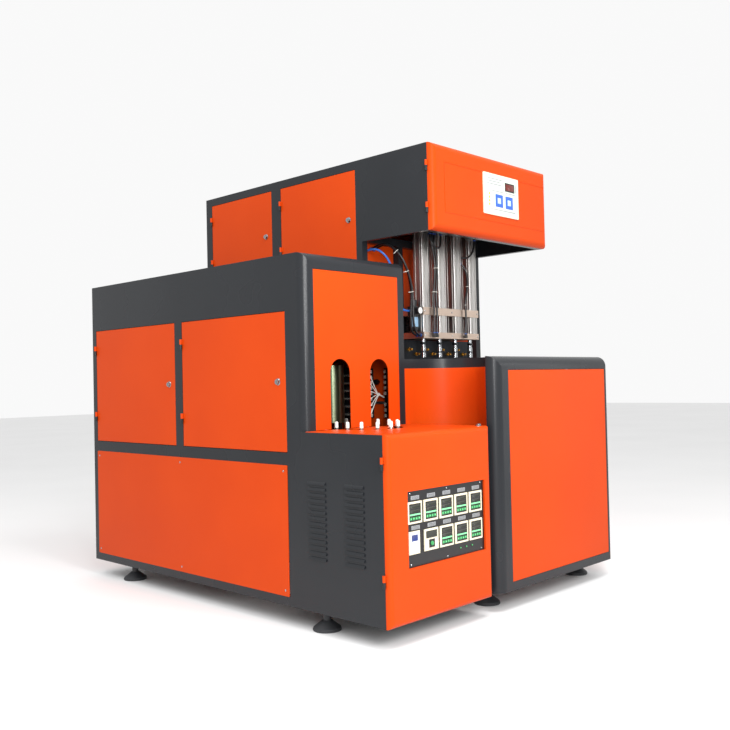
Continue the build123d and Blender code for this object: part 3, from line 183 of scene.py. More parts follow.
def soften(piece, width, segments=2, angle=30):
    """Round the edges of a piece and smooth what is left nearly flat."""
    clear()
    piece.select_set(True)
    bpy.context.view_layer.objects.active = piece
    bevel = piece.modifiers.new("Round", "BEVEL")
    bevel.width = width / 1000
    bevel.segments = segments
    bevel.limit_method = "ANGLE"
    bevel.angle_limit = math.radians(angle)
    bpy.ops.object.modifier_apply(modifier=bevel.name)
    bpy.ops.object.shade_smooth_by_angle(angle=math.radians(40))
    return piece


def block(name, low, high, rounding=0.0, segments=2):
    """Block between two corners of the drawing, its edges rounded."""
    clear()
    a = at(*low)
    b = at(*high)
    bpy.ops.mesh.primitive_cube_add(size=1, location=(a + b) / 2, scale=b - a)
    piece = settle(bpy.context.object, name)
    if rounding:
        soften(piece, rounding, segments)
    return piece


def turned(name, steps, place, direction=(0, 0, 1), sides=20):
    """Turned piece: rings of radius and distance along a direction, in millimetres, closed at both ends."""
    clear()
    radius, height = steps[0]
    bpy.ops.mesh.primitive_circle_add(vertices=sides, radius=radius / 1000, fill_type="NGON")
    bpy.ops.object.mode_set(mode="EDIT")
    bpy.ops.mesh.select_all(action="SELECT")
    bpy.ops.transform.translate(value=(0, 0, height / 1000))
    for next_radius, next_height in steps[1:]:
        rise = (next_height - height) / 1000
        bpy.ops.mesh.extrude_region_move(TRANSFORM_OT_translate={"value": (0, 0, rise)})
        grow = next_radius / radius
        bpy.ops.transform.resize(value=(grow, grow, 1), center_override=(0, 0, next_height / 1000))
        radius, height = next_radius, next_height
    bpy.ops.object.mode_set(mode="OBJECT")
    piece = bpy.context.object
    piece.rotation_mode = "QUATERNION"
    piece.rotation_quaternion = Vector(direction).to_track_quat("Z", "Y")
    piece.location = at(*place)
    settle(piece, name)
    bpy.ops.object.shade_smooth_by_angle(angle=math.radians(35))
    return piece


def repeated(name, first, offsets):
    """One piece made of copies of the first, each moved by an offset of the drawing."""
    clear()
    pieces = []
    for offset in offsets:
        copy = first.copy()
        copy.data = first.data.copy()
        copy.location = Vector(offset) / 1000
        bpy.context.scene.collection.objects.link(copy)
        pieces.append(copy)
    bpy.data.objects.remove(first)
    return joined(name, pieces)


def joined(name, pieces):
    """Join pieces into one."""
    clear()
    for piece in pieces:
        piece.select_set(True)
    bpy.context.view_layer.objects.active = pieces[0]
    bpy.ops.object.transform_apply(location=True, rotation=True, scale=True)
    if len(pieces) > 1:
        bpy.ops.object.join()
    piece = bpy.context.object
    piece.name = name
    return piece


def ring(name, place, direction, radius, thickness, sides=32):
    """Round ring of round wire about a direction."""
    clear()
    bpy.ops.mesh.primitive_torus_add(
        major_radius=radius / 1000, minor_radius=thickness / 1000, major_segments=sides, minor_segments=8
    )
    piece = bpy.context.object
    piece.rotation_mode = "QUATERNION"
    piece.rotation_quaternion = Vector(direction).to_track_quat("Z", "Y")
    piece.location = at(*place)
    settle(piece, name)
    bpy.ops.object.shade_smooth()
    return piece


def cord_line(name, points, radius, sides=6):
    """Round cord along a smooth line that the points steer, closed at both ends."""
    clear()
    curve = bpy.data.curves.new(name, "CURVE")
    curve.dimensions = "3D"
    curve.bevel_depth = radius / 1000
    curve.bevel_resolution = sides
    curve.resolution_u = 10
    curve.use_fill_caps = True
    spline = curve.splines.new("NURBS")
    spline.points.add(len(points) - 1)
    for knot, point in zip(spline.points, points):
        knot.co = (*at(*point), 1.0)
    spline.order_u = 3
    spline.use_endpoint_u = True
    piece = bpy.data.objects.new(name, curve)
    bpy.context.scene.collection.objects.link(piece)
    piece.select_set(True)
    bpy.context.view_layer.objects.active = piece
    bpy.ops.object.convert(target="MESH")
    settle(bpy.context.object, name)
    bpy.ops.object.shade_smooth_by_angle(angle=math.radians(50))
    return bpy.context.object


def sunk(piece, inset, depth):
    """Push the front of a block in by a depth, leaving a rim."""
    clear()
    piece.select_set(True)
    bpy.context.view_layer.objects.active = piece
    lowest = min(face.center.y for face in piece.data.polygons)
    for face in piece.data.polygons:
        face.select = face.normal.y < -0.9 and face.center.y < lowest + 0.0001
    bpy.ops.object.mode_set(mode="EDIT")
    bpy.ops.mesh.select_mode(type="FACE")
    bpy.ops.mesh.inset(thickness=inset / 1000)
    bpy.ops.transform.translate(value=(0, depth / 1000, 0))
    bpy.ops.object.mode_set(mode="OBJECT")
    return piece


def screws(name, places, direction, radius=5.0, rise=2.6):
    """Socket screws at places of one face."""
    first = turned(
        name + "_first",
        ((radius, 0), (radius, rise * 0.7), (radius * 0.8, rise), (radius * 0.48, rise), (radius * 0.4, rise * 0.4)),
        (0, 0, 0),
        direction,
        12,
    )
    return repeated(name, first, places)


def dress(piece, material, body):
    """Give a piece its finish and let it move with a body."""
    piece.data.materials.clear()
    piece.data.materials.append(material)
    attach(piece, body)
    return piece


# Finishes, each named for its real material; the tips' finish also for the highlight painted into it.


def linear(code):
    """Linear colour of an sRGB hex code."""
    values = [int(code[i : i + 2], 16) / 255 for i in (1, 3, 5)]
    return tuple(v / 12.92 if v <= 0.04045 else ((v + 0.055) / 1.055) ** 2.4 for v in values) + (1.0,)


def add(tree, kind, values=None, links=None):
    """Add one shader node with its settings, values and links."""
    node = tree.nodes.new(kind)
    for name, value in (values or {}).items():
        if isinstance(name, int) or name in node.inputs:
            node.inputs[name].default_value = value
        else:
            setattr(node, name, value)
    for name, source in (links or {}).items():
        tree.links.new(source, node.inputs[name])
    return node


def begin(name):
    """Empty material with its surface shader: gives the material, its tree and the shader."""
    material = bpy.data.materials.new(name)
    material.use_nodes = True
    tree = material.node_tree
    tree.nodes.clear()
    shader = add(tree, "ShaderNodeBsdfPrincipled")
    add(tree, "ShaderNodeOutputMaterial", links={"Surface": shader.outputs["BSDF"]})
    return material, tree, shader


def paint(name, dark, light, roughness, gloss, peel, grain):
    """Powder coat: two near shades in broad clouds, and the peel or grain of the baked powder."""
    material, tree, shader = begin(name)
    place = add(tree, "ShaderNodeTexCoord").outputs["Object"]
    cloud = add(tree, "ShaderNodeTexNoise", {"Scale": 2.2, "Detail": 3.0}, {"Vector": place})
    tone = add(
        tree,
        "ShaderNodeMixRGB",
        {"Color1": linear(dark), "Color2": linear(light)},
        {"Fac": cloud.outputs["Fac"]},
    )
    tree.links.new(tone.outputs["Color"], shader.inputs["Base Color"])
    shader.inputs["Specular IOR Level"].default_value = gloss
    spread = add(
        tree,
        "ShaderNodeMapRange",
        {"To Min": roughness - 0.05, "To Max": roughness + 0.05},
        {"Value": cloud.outputs["Fac"]},
    )
    tree.links.new(spread.outputs["Result"], shader.inputs["Roughness"])
    fine = add(tree, "ShaderNodeTexNoise", {"Scale": 1000 / grain, "Detail": 2.0}, {"Vector": place})
    bump = add(
        tree,
        "ShaderNodeBump",
        {"Strength": peel, "Distance": 0.0003},
        {"Height": fine.outputs["Fac"]},
    )
    tree.links.new(bump.outputs["Normal"], shader.inputs["Normal"])
    return material


def orange_powder_coat():
    """Semi-gloss polyester powder coat on sheet steel."""
    # The eye sees a saturated orange with soft wide reflections and a slight peel, about 4 mm across.
    return paint("orange_powder_coat", shades().orange_dark, shades().orange_light, 0.36, 0.08, 0.12, 4.0)


def charcoal_powder_coat():
    """Semi-gloss charcoal powder coat with a fine texture."""
    # The eye sees a dark warm grey that catches a crisp line of light along each folded edge.
    return paint("charcoal_powder_coat", shades().grey_dark, shades().grey_light, 0.27, 0.24, 0.12, 1.6)


def motor_enamel():
    """Sprayed enamel on cast housings."""
    # The eye sees a grey-blue coat over a slightly rough casting, about 2.5 mm between its bumps.
    return paint("motor_enamel", "#3c4a58", "#46566a", 0.42, 0.4, 0.45, 2.5)


def metal(name, dark, light, roughness, stretch, grain, depth):
    """Bare or plated metal: fine marks drawn out along the axes by the stretch."""
    material, tree, shader = begin(name)
    shader.inputs["Metallic"].default_value = 1.0
    place = add(tree, "ShaderNodeTexCoord").outputs["Object"]
    drawn = add(tree, "ShaderNodeMapping", {"Scale": stretch}, {"Vector": place})
    marks = add(
        tree,
        "ShaderNodeTexNoise",
        {"Scale": 1000 / grain, "Detail": 4.0, "Roughness": 0.6},
        {"Vector": drawn.outputs["Vector"]},
    )
    tone = add(
        tree,
        "ShaderNodeMixRGB",
        {"Color1": linear(dark), "Color2": linear(light)},
        {"Fac": marks.outputs["Fac"]},
    )
    tree.links.new(tone.outputs["Color"], shader.inputs["Base Color"])
    spread = add(
        tree,
        "ShaderNodeMapRange",
        {"To Min": max(0.03, roughness - 0.08), "To Max": roughness + 0.08},
        {"Value": marks.outputs["Fac"]},
    )
    tree.links.new(spread.outputs["Result"], shader.inputs["Roughness"])
    bump = add(
        tree,
        "ShaderNodeBump",
        {"Strength": depth, "Distance": 0.0002},
        {"Height": marks.outputs["Fac"]},
    )
    tree.links.new(bump.outputs["Normal"], shader.inputs["Normal"])
    return material


def anodised_extrusion():
    """Clear anodised aluminium extrusion."""
    # The eye sees pale satin metal with fine die lines running up the profile, 1.5 mm apart.
    return metal("anodised_extrusion", "#9c9a98", "#c2bfbc", 0.36, (1.0, 1.0, 0.02), 1.5, 0.04)


def tan_tooling_plate():
    """Milled aluminium plate with a warm conversion coat."""
    # The eye sees a matt tan plate with faint cutter lines along its length, 2 mm apart.
    return metal("tan_tooling_plate", "#b8a494", "#d2c0b2", 0.45, (0.06, 1.0, 1.0), 2.0, 0.12)


def chrome_plate():
    """Bright chrome on ground bar and on locks."""
    # The eye sees a near mirror with almost no grain.
    return metal("chrome_plate", "#8f9295", "#a9acaf", 0.12, (1.0, 1.0, 1.0), 6.0, 0.02)


def nickel_plated_steel():
    """Nickel plated chain and holders, lightly oiled."""
    # The eye sees soft grey metal with a slightly uneven sheen.
    return metal("nickel_plated_steel", "#8f8f8c", "#bdbcb6", 0.28, (1.0, 1.0, 1.0), 8.0, 0.1)


def mould_aluminium():
    """Machined mould block."""
    # The eye sees bright flat metal with fine milling lines across the block, 1.2 mm apart.
    return metal("mould_aluminium", "#9ea1a5", "#c6c8cb", 0.3, (0.05, 1.0, 1.0), 1.2, 0.2)


def black_oxide_steel():
    """Ground steel plate with a black oxide finish."""
    # The eye sees a blue-black plate with a dull gleam and a little mottling, 12 mm across.
    return metal("black_oxide_steel", "#1c1d20", "#34363a", 0.42, (1.0, 1.0, 1.0), 12.0, 0.12)


def polished_reflector():
    """Polished stainless reflector, tinted by heat."""
    # The eye sees an olive mirror with a soft vertical gleam.
    return metal("polished_reflector", "#4f5644", "#79826a", 0.3, (1.0, 1.0, 0.03), 3.0, 0.03)


def plastic(name, dark, light, roughness, grain, depth):
    """Moulded plastic or rubber: a near even colour over a fine mould texture."""
    material, tree, shader = begin(name)
    place = add(tree, "ShaderNodeTexCoord").outputs["Object"]
    fine = add(tree, "ShaderNodeTexNoise", {"Scale": 1000 / grain, "Detail": 3.0}, {"Vector": place})
    tone = add(
        tree,
        "ShaderNodeMixRGB",
        {"Color1": linear(dark), "Color2": linear(light)},
        {"Fac": fine.outputs["Fac"]},
    )
    tree.links.new(tone.outputs["Color"], shader.inputs["Base Color"])
    shader.inputs["Roughness"].default_value = roughness
    bump = add(
        tree,
        "ShaderNodeBump",
        {"Strength": depth, "Distance": 0.0002},
        {"Height": fine.outputs["Fac"]},
    )
    tree.links.new(bump.outputs["Normal"], shader.inputs["Normal"])
    return material


def cream_abs():
    """Cream moulded instrument housing."""
    # The eye sees a warm off-white with a fine spark texture, 0.8 mm.
    return plastic("cream_abs", "#cfc7ad", "#e0d9c2", 0.42, 0.8, 0.15)


def black_panel_laminate():
    """Black laminate of the instrument panel."""
    # The eye sees near black with a low sheen.
    return plastic("black_panel_laminate", "#0b0b0c", "#141416", 0.35, 1.5, 0.12)


def foot_rubber():
    """Moulded rubber and cast foot."""
    # The eye sees dark charcoal, matt, with a soft edge light.
    return plastic("foot_rubber", "#232427", "#303134", 0.6, 2.0, 0.3)


def clear_resin(name, dark, light, share, haze_low, haze_high):
    """Clear glass or resin: a tint, light let through by a share, and a faint haze."""
    material, tree, shader = begin(name)
    place = add(tree, "ShaderNodeTexCoord").outputs["Object"]
    haze = add(tree, "ShaderNodeTexNoise", {"Scale": 60.0, "Detail": 2.0}, {"Vector": place})
    tone = add(
        tree,
        "ShaderNodeMixRGB",
        {"Color1": linear(dark), "Color2": linear(light)},
        {"Fac": haze.outputs["Fac"]},
    )
    tree.links.new(tone.outputs["Color"], shader.inputs["Base Color"])
    shader.inputs["Transmission Weight"].default_value = share
    shader.inputs["IOR"].default_value = 1.46
    spread = add(
        tree,
        "ShaderNodeMapRange",
        {"To Min": haze_low, "To Max": haze_high},
        {"Value": haze.outputs["Fac"]},
    )
    tree.links.new(spread.outputs["Result"], shader.inputs["Roughness"])
    return material


def quartz_tube():
    """Clear fused quartz of the lamps."""
    # The eye sees a clear tube with a bright edge.
    return clear_resin("quartz_tube", "#ece8dc", "#f6f3ea", 0.75, 0.04, 0.14)


def polycarbonate_bowl():
    """Blue polycarbonate of the regulator's bowl."""
    # The eye sees a pale blue cup, half clear, with a soft bright edge.
    return clear_resin("polycarbonate_bowl", "#8db9dc", "#a9cfe9", 0.35, 0.1, 0.22)


def black_nylon():
    """Black glass-filled nylon of fittings, valves and relays."""
    # The eye sees soft black with a fine grey bloom, 1 mm.
    return plastic("black_nylon", "#111213", "#1d1e20", 0.45, 1.0, 0.2)


def tinted_display():
    """Smoked acrylic over the digits of an instrument."""
    # The eye sees a nearly black olive pane with a wet gleam.
    return plastic("tinted_display", "#1d2019", "#2b2e24", 0.12, 20.0, 0.03)


def blue_display():
    """Blue liquid crystal window of the counter."""
    # The eye sees deep blue glass with a wet gleam.
    return plastic("blue_display", "#1c2b5e", "#263a7a", 0.14, 20.0, 0.03)


def red_display():
    """Dark red acrylic over the keypad's digits."""
    # The eye sees a red-brown pane, darker towards its middle.
    return plastic("red_display", "#4b1712", "#6e241a", 0.16, 24.0, 0.03)


def lit_green_bar():
    """Green strip of scale, lit from behind."""
    # The eye sees clean pale green, even across the strip.
    return plastic("lit_green_bar", "#6fd28c", "#8be3a3", 0.3, 6.0, 0.05)


def green_key_rubber():
    """Green silicone keys and knobs."""
    # The eye sees a middle green with a dull gleam.
    return plastic("green_key_rubber", "#2e8049", "#3f9a5b", 0.5, 1.2, 0.15)


def grey_plate_print():
    """Grey anodised label plates and screen print, both blank."""
    # The eye sees a flat middle grey.
    return plastic("grey_plate_print", "#85878a", "#96989b", 0.4, 1.5, 0.08)


def white_counter_abs():
    """White moulded front of the counter."""
    # The eye sees cool white with a light mould texture.
    return plastic("white_counter_abs", "#dcddda", "#ecece9", 0.35, 0.8, 0.1)


def pale_blue_key():
    """Pale blue keys and bands."""
    # The eye sees a powdery light blue.
    return plastic("pale_blue_key", "#a4bdd8", "#b9cfe4", 0.4, 1.2, 0.08)


def polyester_membrane():
    """Textured polyester film of the keypad."""
    # The eye sees a pale grey-green sheet with a fine grain that kills reflections, 0.6 mm.
    return plastic("polyester_membrane", "#c3cbbf", "#d2d9cd", 0.5, 0.6, 0.2)


def blue_key_film():
    """Blue printed keys of the keypad."""
    # The eye sees a strong blue under the same film.
    return plastic("blue_key_film", "#2450a8", "#2f60bc", 0.42, 0.6, 0.15)


def amber_lens():
    """Amber indicator lenses."""
    # The eye sees warm yellow with a bright edge.
    return plastic("amber_lens", "#d8a21c", "#eabc3c", 0.25, 3.0, 0.05)


def polyurethane_hose():
    """Black polyurethane air hose."""
    # The eye sees satin black with a long line of light.
    return plastic("polyurethane_hose", "#0b0b0c", "#151517", 0.3, 2.5, 0.06)


def blue_polyurethane_hose():
    """Blue polyurethane air hose."""
    # The eye sees a clear middle blue with a long line of light.
    return plastic("blue_polyurethane_hose", "#2860b4", "#3470c6", 0.28, 2.5, 0.06)


def blue_release_ring():
    """Blue acetal release rings of the push-in fittings."""
    # The eye sees a dull dark blue.
    return plastic("blue_release_ring", "#21458f", "#2b54a4", 0.4, 1.0, 0.1)


def nylon_tie():
    """Natural nylon cable ties."""
    # The eye sees milky white.
    return plastic("nylon_tie", "#dedcd2", "#ece9df", 0.4, 1.0, 0.08)


def white_tip_painted_highlight():
    """White acetal tips that hold the preforms; their white is partly a painted highlight, standing in for the gleam
    on the holders' chrome tops.
    """
    # The eye sees smooth clean white, brightened by that painted highlight, a little yellow where it has been warm.
    return plastic("white_tip_painted_highlight", "#e2dfd4", "#f2f0ea", 0.32, 9.0, 0.05)


def steatite_ceramic():
    """Unglazed steatite of lamp sockets and terminals."""
    # The eye sees chalky off-white with a fine tooth, 0.7 mm.
    return plastic("steatite_ceramic", "#d3cec0", "#e6e2d7", 0.6, 0.7, 0.25)


def phenolic_knob():
    """Black polished phenolic knob."""
    # The eye sees wet black with a sharp highlight.
    return plastic("phenolic_knob", "#0a0a0b", "#111112", 0.14, 8.0, 0.03)


def white_silicone():
    """White silicone sheath of the lamp leads."""
    # The eye sees soft white with a dull gleam.
    return plastic("white_silicone", "#dddbd3", "#ecebe5", 0.45, 1.5, 0.1)


def grey_duct_pvc():
    """Grey vinyl of wiring ducts."""
    # The eye sees a flat blue-grey.
    return plastic("grey_duct_pvc", "#8b9198", "#9aa0a7", 0.5, 2.0, 0.1)


def breaker_abs():
    """Pale grey housings of breakers and regulators."""
    # The eye sees pale grey with a fine mould texture.
    return plastic("breaker_abs", "#bfc2c3", "#d0d2d2", 0.42, 0.8, 0.12)


def terminal_polyamide():
    """Beige polyamide terminal blocks."""
    # The eye sees dull sand colour.
    return plastic("terminal_polyamide", "#ada78f", "#c0baa2", 0.5, 1.0, 0.15)


def machined_brass():
    """Machined brass fittings."""
    # The eye sees warm yellow metal with turning marks, 0.6 mm apart.
    return metal("machined_brass", "#a37a35", "#d0a95c", 0.26, (1.0, 1.0, 1.0), 0.6, 0.12)


def zinc_screw():
    """Bright zinc plated screws and nuts."""
    # The eye sees silver with a faint cloud.
    return metal("zinc_screw", "#9fa3a6", "#cdd0d2", 0.24, (1.0, 1.0, 1.0), 4.0, 0.06)


def galvanised_sheet():
    """Galvanised mounting plate and rails."""
    # The eye sees grey metal with flat spangles, 14 mm across.
    return metal("galvanised_sheet", "#83898c", "#a9aeb0", 0.4, (1.0, 1.0, 1.0), 14.0, 0.05)


NODE_FINISHES = {
    "orange_powder_coat": (
        "oven_lower_panel oven_front_panel oven_door_front oven_door_rear oven_cover_panels tower_door_front"
        " tower_door_rear control_box_door control_box_top head_door cove_panel station_front_panel"
        " station_side_panels blow_backplate"
    ),
    "charcoal_powder_coat": (
        "oven_frame oven_hood control_box_shell station_surround station_frame tower_covers head_shell cove_rail"
        " chain_track idler_post fan_frame table_plate lamp_racks hinge_pins"
    ),
    "chrome_plate": (
        "oven_lock_front oven_lock_rear tower_lock_front tower_lock_rear control_box_lock blow_nozzles"
        " stretch_rods tie_bars clamp_rod"
    ),
    "anodised_extrusion": "stretch_cylinders blow_cylinders",
    "tan_tooling_plate": "cylinder_plates",
    "mould_aluminium": "mould_half_front mould_half_rear",
    "nickel_plated_steel": "preform_chain drive_sprocket idler_sprocket",
    "black_oxide_steel": "rear_platen moving_platen clamp_plate clamp_cylinder fan_impeller",
    "polished_reflector": "centre_reflector",
    "quartz_tube": "infrared_lamps",
    "black_panel_laminate": "instrument_panel",
    "cream_abs": "controllers keypad",
    "foot_rubber": "levelling_feet",
    "motor_enamel": "drive_gearmotor",
    "black_nylon": "air_fittings",
    "polyurethane_hose": "air_hoses",
    "white_silicone": "lamp_leads",
}
MAKERS = (
    orange_powder_coat, charcoal_powder_coat, motor_enamel, anodised_extrusion, tan_tooling_plate, chrome_plate,
    nickel_plated_steel, mould_aluminium, black_oxide_steel, polished_reflector, cream_abs, black_panel_laminate,
    foot_rubber, quartz_tube, polycarbonate_bowl, black_nylon, tinted_display, blue_display, red_display,
    lit_green_bar, green_key_rubber, grey_plate_print, white_counter_abs, pale_blue_key, polyester_membrane,
    blue_key_film, amber_lens, polyurethane_hose, blue_polyurethane_hose, blue_release_ring, nylon_tie, white_tip_painted_highlight,
    steatite_ceramic, phenolic_knob, white_silicone, grey_duct_pvc, breaker_abs, terminal_polyamide,
    machined_brass, zinc_screw, galvanised_sheet,
)
FINISHES = {}


def finish(name):
    """Material of that name, made once."""
    if name not in FINISHES:
        make = {maker.__name__: maker for maker in MAKERS}[name]
        FINISHES[name] = make()
    return FINISHES[name]


class BottleMachineSizes(bpy.types.PropertyGroup):
    """Sizes of the small parts."""

    screw_radius: bpy.props.FloatProperty(
        name="Screw head", description="Radius of the panel screws, in millimetres", default=5.0, min=2.0, max=9.0
    )
    hose_radius: bpy.props.FloatProperty(
        name="Air hose", description="Radius of the air hoses, in millimetres", default=6.0, min=4.0, max=7.0
    )


class BottleMachineShades(bpy.types.PropertyGroup):
    """Colours of the paint, as hex codes."""

    orange_dark: bpy.props.StringProperty(name="Orange, dark", description="Deeper orange of the panels", default="#b93a0a")
    orange_light: bpy.props.StringProperty(name="Orange, light", description="Lighter orange of the panels", default="#c6430d")
    grey_dark: bpy.props.StringProperty(name="Grey, dark", description="Deeper grey of the frames", default="#1d1f22")
    grey_light: bpy.props.StringProperty(name="Grey, light", description="Lighter grey of the frames", default="#25272a")


class BOTTLER_OT_finish_solids(bpy.types.Operator):
    """Give every solid of the machine its finish"""

    bl_idname = "bottler.finish_solids"
    bl_label = "Finish the solids"

    def execute(self, context):
        for name, nodes in NODE_FINISHES.items():
            for node in nodes.split():
                NODES[node].data.materials.clear()
                NODES[node].data.materials.append(finish(name))
        return {"FINISHED"}


class BOTTLER_OT_instruments(bpy.types.Operator):
    """Faces, keys and blank plates of the instruments in the control box's window"""

    bl_idname = "bottler.instruments"
    bl_label = "Instruments"

    def execute(self, context):
        body = "control_box_door"
        # Eight controllers: five above, three below; the timer and the counter fill the other two places.
        offsets = [(i * 110, 0, 131) for i in range(5)] + [(i * 110, 0, 0) for i in (2, 3, 4)]
        face = sunk(block("controller_faces", (137, 4.0, 308), (215, 5.2, 386), 0.8), 3, 0.3)
        dress(repeated("controller_faces", face, offsets), finish("black_panel_laminate"), body)
        for name, low, high in (("upper", 367, 381), ("lower", 348, 361)):
            window = sunk(block(f"{name}_displays", (142, 3.4, low), (210, 4.4, high), 0.5), 1.5, 0.4)
            piece = repeated(f"{name}_displays", window, offsets)
            dress(piece, finish("tinted_display"), body)
        bar = block("green_bars", (140, 3.2, 335), (212, 4.4, 342), 0.8)
        dress(repeated("green_bars", bar, offsets), finish("lit_green_bar"), body)
        key = sunk(block("controller_keys", (142, 2.9, 315), (156, 4.4, 328), 1.2), 2.4, 0.4)
        keys = [(x + i * 18, y, z) for x, y, z in offsets for i in range(4)]
        dress(repeated("controller_keys", key, keys), finish("green_key_rubber"), body)
        mark = block("key_marks", (146, 2.8, 320), (152, 3.5, 323), 0.4)
        dress(repeated("key_marks", mark, keys), finish("lit_green_bar"), body)

        plate = block("blank_plates", (156, 9.2, 403), (212, 10.1, 420), 0.5)
        plates = [(i * 110, 0, z) for i in range(5) for z in (0, 131)]
        dress(repeated("blank_plates", plate, plates), finish("grey_plate_print"), body)
        groove = block("plate_grooves", (160, 8.9, 406), (208, 9.4, 407.5), 0.2)
        grooves = [(x, y, z + rise) for x, y, z in plates for rise in (0, 4.5, 9)]
        dress(repeated("plate_grooves", groove, grooves), finish("black_panel_laminate"), body)

        counter = sunk(block("counter_face", (143, 3.2, 306), (197, 5.2, 388), 1.5), 3, 0.5)
        dress(counter, finish("white_counter_abs"), body)
        display = sunk(block("counter_display", (149, 2.7, 354), (191, 3.8, 382), 0.8), 2, 0.5)
        dress(display, finish("blue_display"), body)
        band = block("counter_band", (149, 2.9, 341), (191, 3.8, 350), 0.6)
        dress(band, finish("pale_blue_key"), body)
        first = block("counter_keys", (150, 2.4, 310), (160, 3.8, 316), 0.8)
        grid = [(i * 14.5, 0, j * 9.5) for i in range(3) for j in range(3)]
        dress(repeated("counter_keys", first, grid), finish("pale_blue_key"), body)

        timer = sunk(block("timer_face", (247, 3.0, 308), (325, 5.2, 350), 2), 3, 0.4)
        dress(timer, finish("cream_abs"), body)
        display = sunk(block("timer_display", (248, 3.4, 354), (324, 5.2, 386), 1), 4, 0.6)
        dress(display, finish("tinted_display"), body)
        dial = sunk(block("timer_dial", (266, 1.6, 311), (306, 3.6, 348), 1.5), 3, 0.8)
        dress(dial, finish("black_panel_laminate"), body)
        steps = ((10, 0), (10, 3), (8.5, 5.5), (5, 6), (4.4, 5))
        knob = turned("timer_knob", steps, (286, 2.6, 329.5), (0, -1, 0), 20)
        dress(knob, finish("green_key_rubber"), body)

        places = [(150, 10, 563), (404, 10, 563), (660, 10, 563), (150, 10, 252), (404, 10, 252), (660, 10, 252)]
        dress(screws("window_screws", places, (0, -1, 0), 4.0, 2.4), finish("zinc_screw"), body)
        lamp = turned("signal_lamps", ((4, 0), (4, 2), (2.6, 4.2), (1.0, 5)), (500, 10, 275), (0, -1, 0), 12)
        lamps = [(i * 44, 0, 0) for i in range(3)]
        dress(repeated("signal_lamps", lamp, lamps), finish("green_key_rubber"), body)
        return {"FINISHED"}


class BOTTLER_OT_keypad(bpy.types.Operator):
    """Membrane, display and keys of the keypad in the head"""

    bl_idname = "bottler.keypad"
    bl_label = "Keypad"

    def execute(self, context):
        body = "head_door"
        sheet = block("keypad_membrane", (1252, 361.2, 1995), (1560, 362.1, 2200), 0.4)
        dress(sheet, finish("polyester_membrane"), body)
        bezel = sunk(block("keypad_display", (1440, 359.9, 2129), (1534, 361.4, 2179), 0.8), 6, 0.8)
        dress(bezel, finish("black_panel_laminate"), body)
        glass = block("keypad_digits", (1447, 360.2, 2136), (1527, 361.0, 2172), 0.4)
        dress(glass, finish("red_display"), body)
        key = sunk(block("blue_keys", (1346, 360.0, 2030), (1418, 361.4, 2102), 3), 5, 0.35)
        dress(repeated("blue_keys", key, [(0, 0, 0), (98, 0, -1)]), finish("blue_key_film"), body)
        inner = block("key_symbols", (1366, 359.8, 2050), (1398, 360.6, 2082), 10)
        piece = repeated("key_symbols", inner, [(0, 0, 0), (98, 0, -1)])
        dress(piece, finish("pale_blue_key"), body)
        lamp = turned("keypad_lamps", ((7, 0), (7, 1.2), (5, 1.9)), (1288, 361.3, 2038), (0, -1, 0), 16)
        piece = repeated("keypad_lamps", lamp, [(0, 0, i * 20) for i in range(4)])
        dress(piece, finish("amber_lens"), body)
        bars = [
            ((1268, 2183), (1414, 2189)),
            ((1268, 2168), (1392, 2174)),
            ((1268, 2153), (1404, 2159)),
            ((1300, 2116), (1424, 2121)),
            ((1448, 2116), (1540, 2121)),
            ((1300, 2011), (1540, 2016)),
            ((1542, 2132), (1550, 2176)),
        ]
        pieces = []
        for i, ((x, z), (far_x, far_z)) in enumerate(bars):
            pieces.append(block(f"print_{i}", (x, 360.8, z), (far_x, 361.4, far_z), 0.2))
        dress(joined("keypad_print", pieces), finish("grey_plate_print"), body)
        return {"FINISHED"}


class BOTTLER_OT_hoses(bpy.types.Operator):
    """Air hoses between the head, the plates and the regulator, with their ties and rings"""

    bl_idname = "bottler.hoses"
    bl_label = "Air hoses"

    def execute(self, context):
        radius = sizes().hose_radius
        black = [cord_line(name, points, radius) for name, points in HOSES.items() if name != "supply"]
        hoses = joined("black_hoses", black)
        dress(hoses, finish("polyurethane_hose"), "machine")
        supply = cord_line("supply_hose", HOSES["supply"], radius)
        dress(supply, finish("blue_polyurethane_hose"), "machine")
        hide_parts("air_hoses")
        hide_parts("air_hoses")

        ties = [
            ring("tie_1", (1166, 674, 1560), (0.1, 0, 1), 17, 1.8),
            ring("tie_2", (1184, 675, 1700), (0, 0, 1), 17, 1.8),
            ring("tie_3", (1000, 708, 1556), (0.2, 0, -1), 16, 1.6),
            ring("tie_4", (966, 712, 1670), (0.4, -0.1, -1), 16, 1.6),
            ring("tie_5", (918, 744, 1780), (0.6, -0.6, -1), 17, 1.6),
            ring("tie_6", (1478, 676, 1612), (0, 0, 1), 8, 1.6),
            ring("tie_7", (1456, 674, 1500), (0, 0, 1), 8, 1.6),
        ]
        dress(joined("nylon_ties", ties), finish("nylon_tie"), "machine")

        rings = []
        for name, (first, last) in HOSE_ENDS.items():
            for i, direction in ((0, first), (-1, last)):
                place = Vector(HOSES[name][i]) - Vector(direction) * 5
                steps = ((7.6, 0), (9.4, 1.5), (9.4, 4.2), (7.2, 5.4))
                rings.append(turned(f"{name}_{i}", steps, place, direction, 16))
        dress(joined("release_rings", rings), finish("blue_release_ring"), "machine")
        return {"FINISHED"}


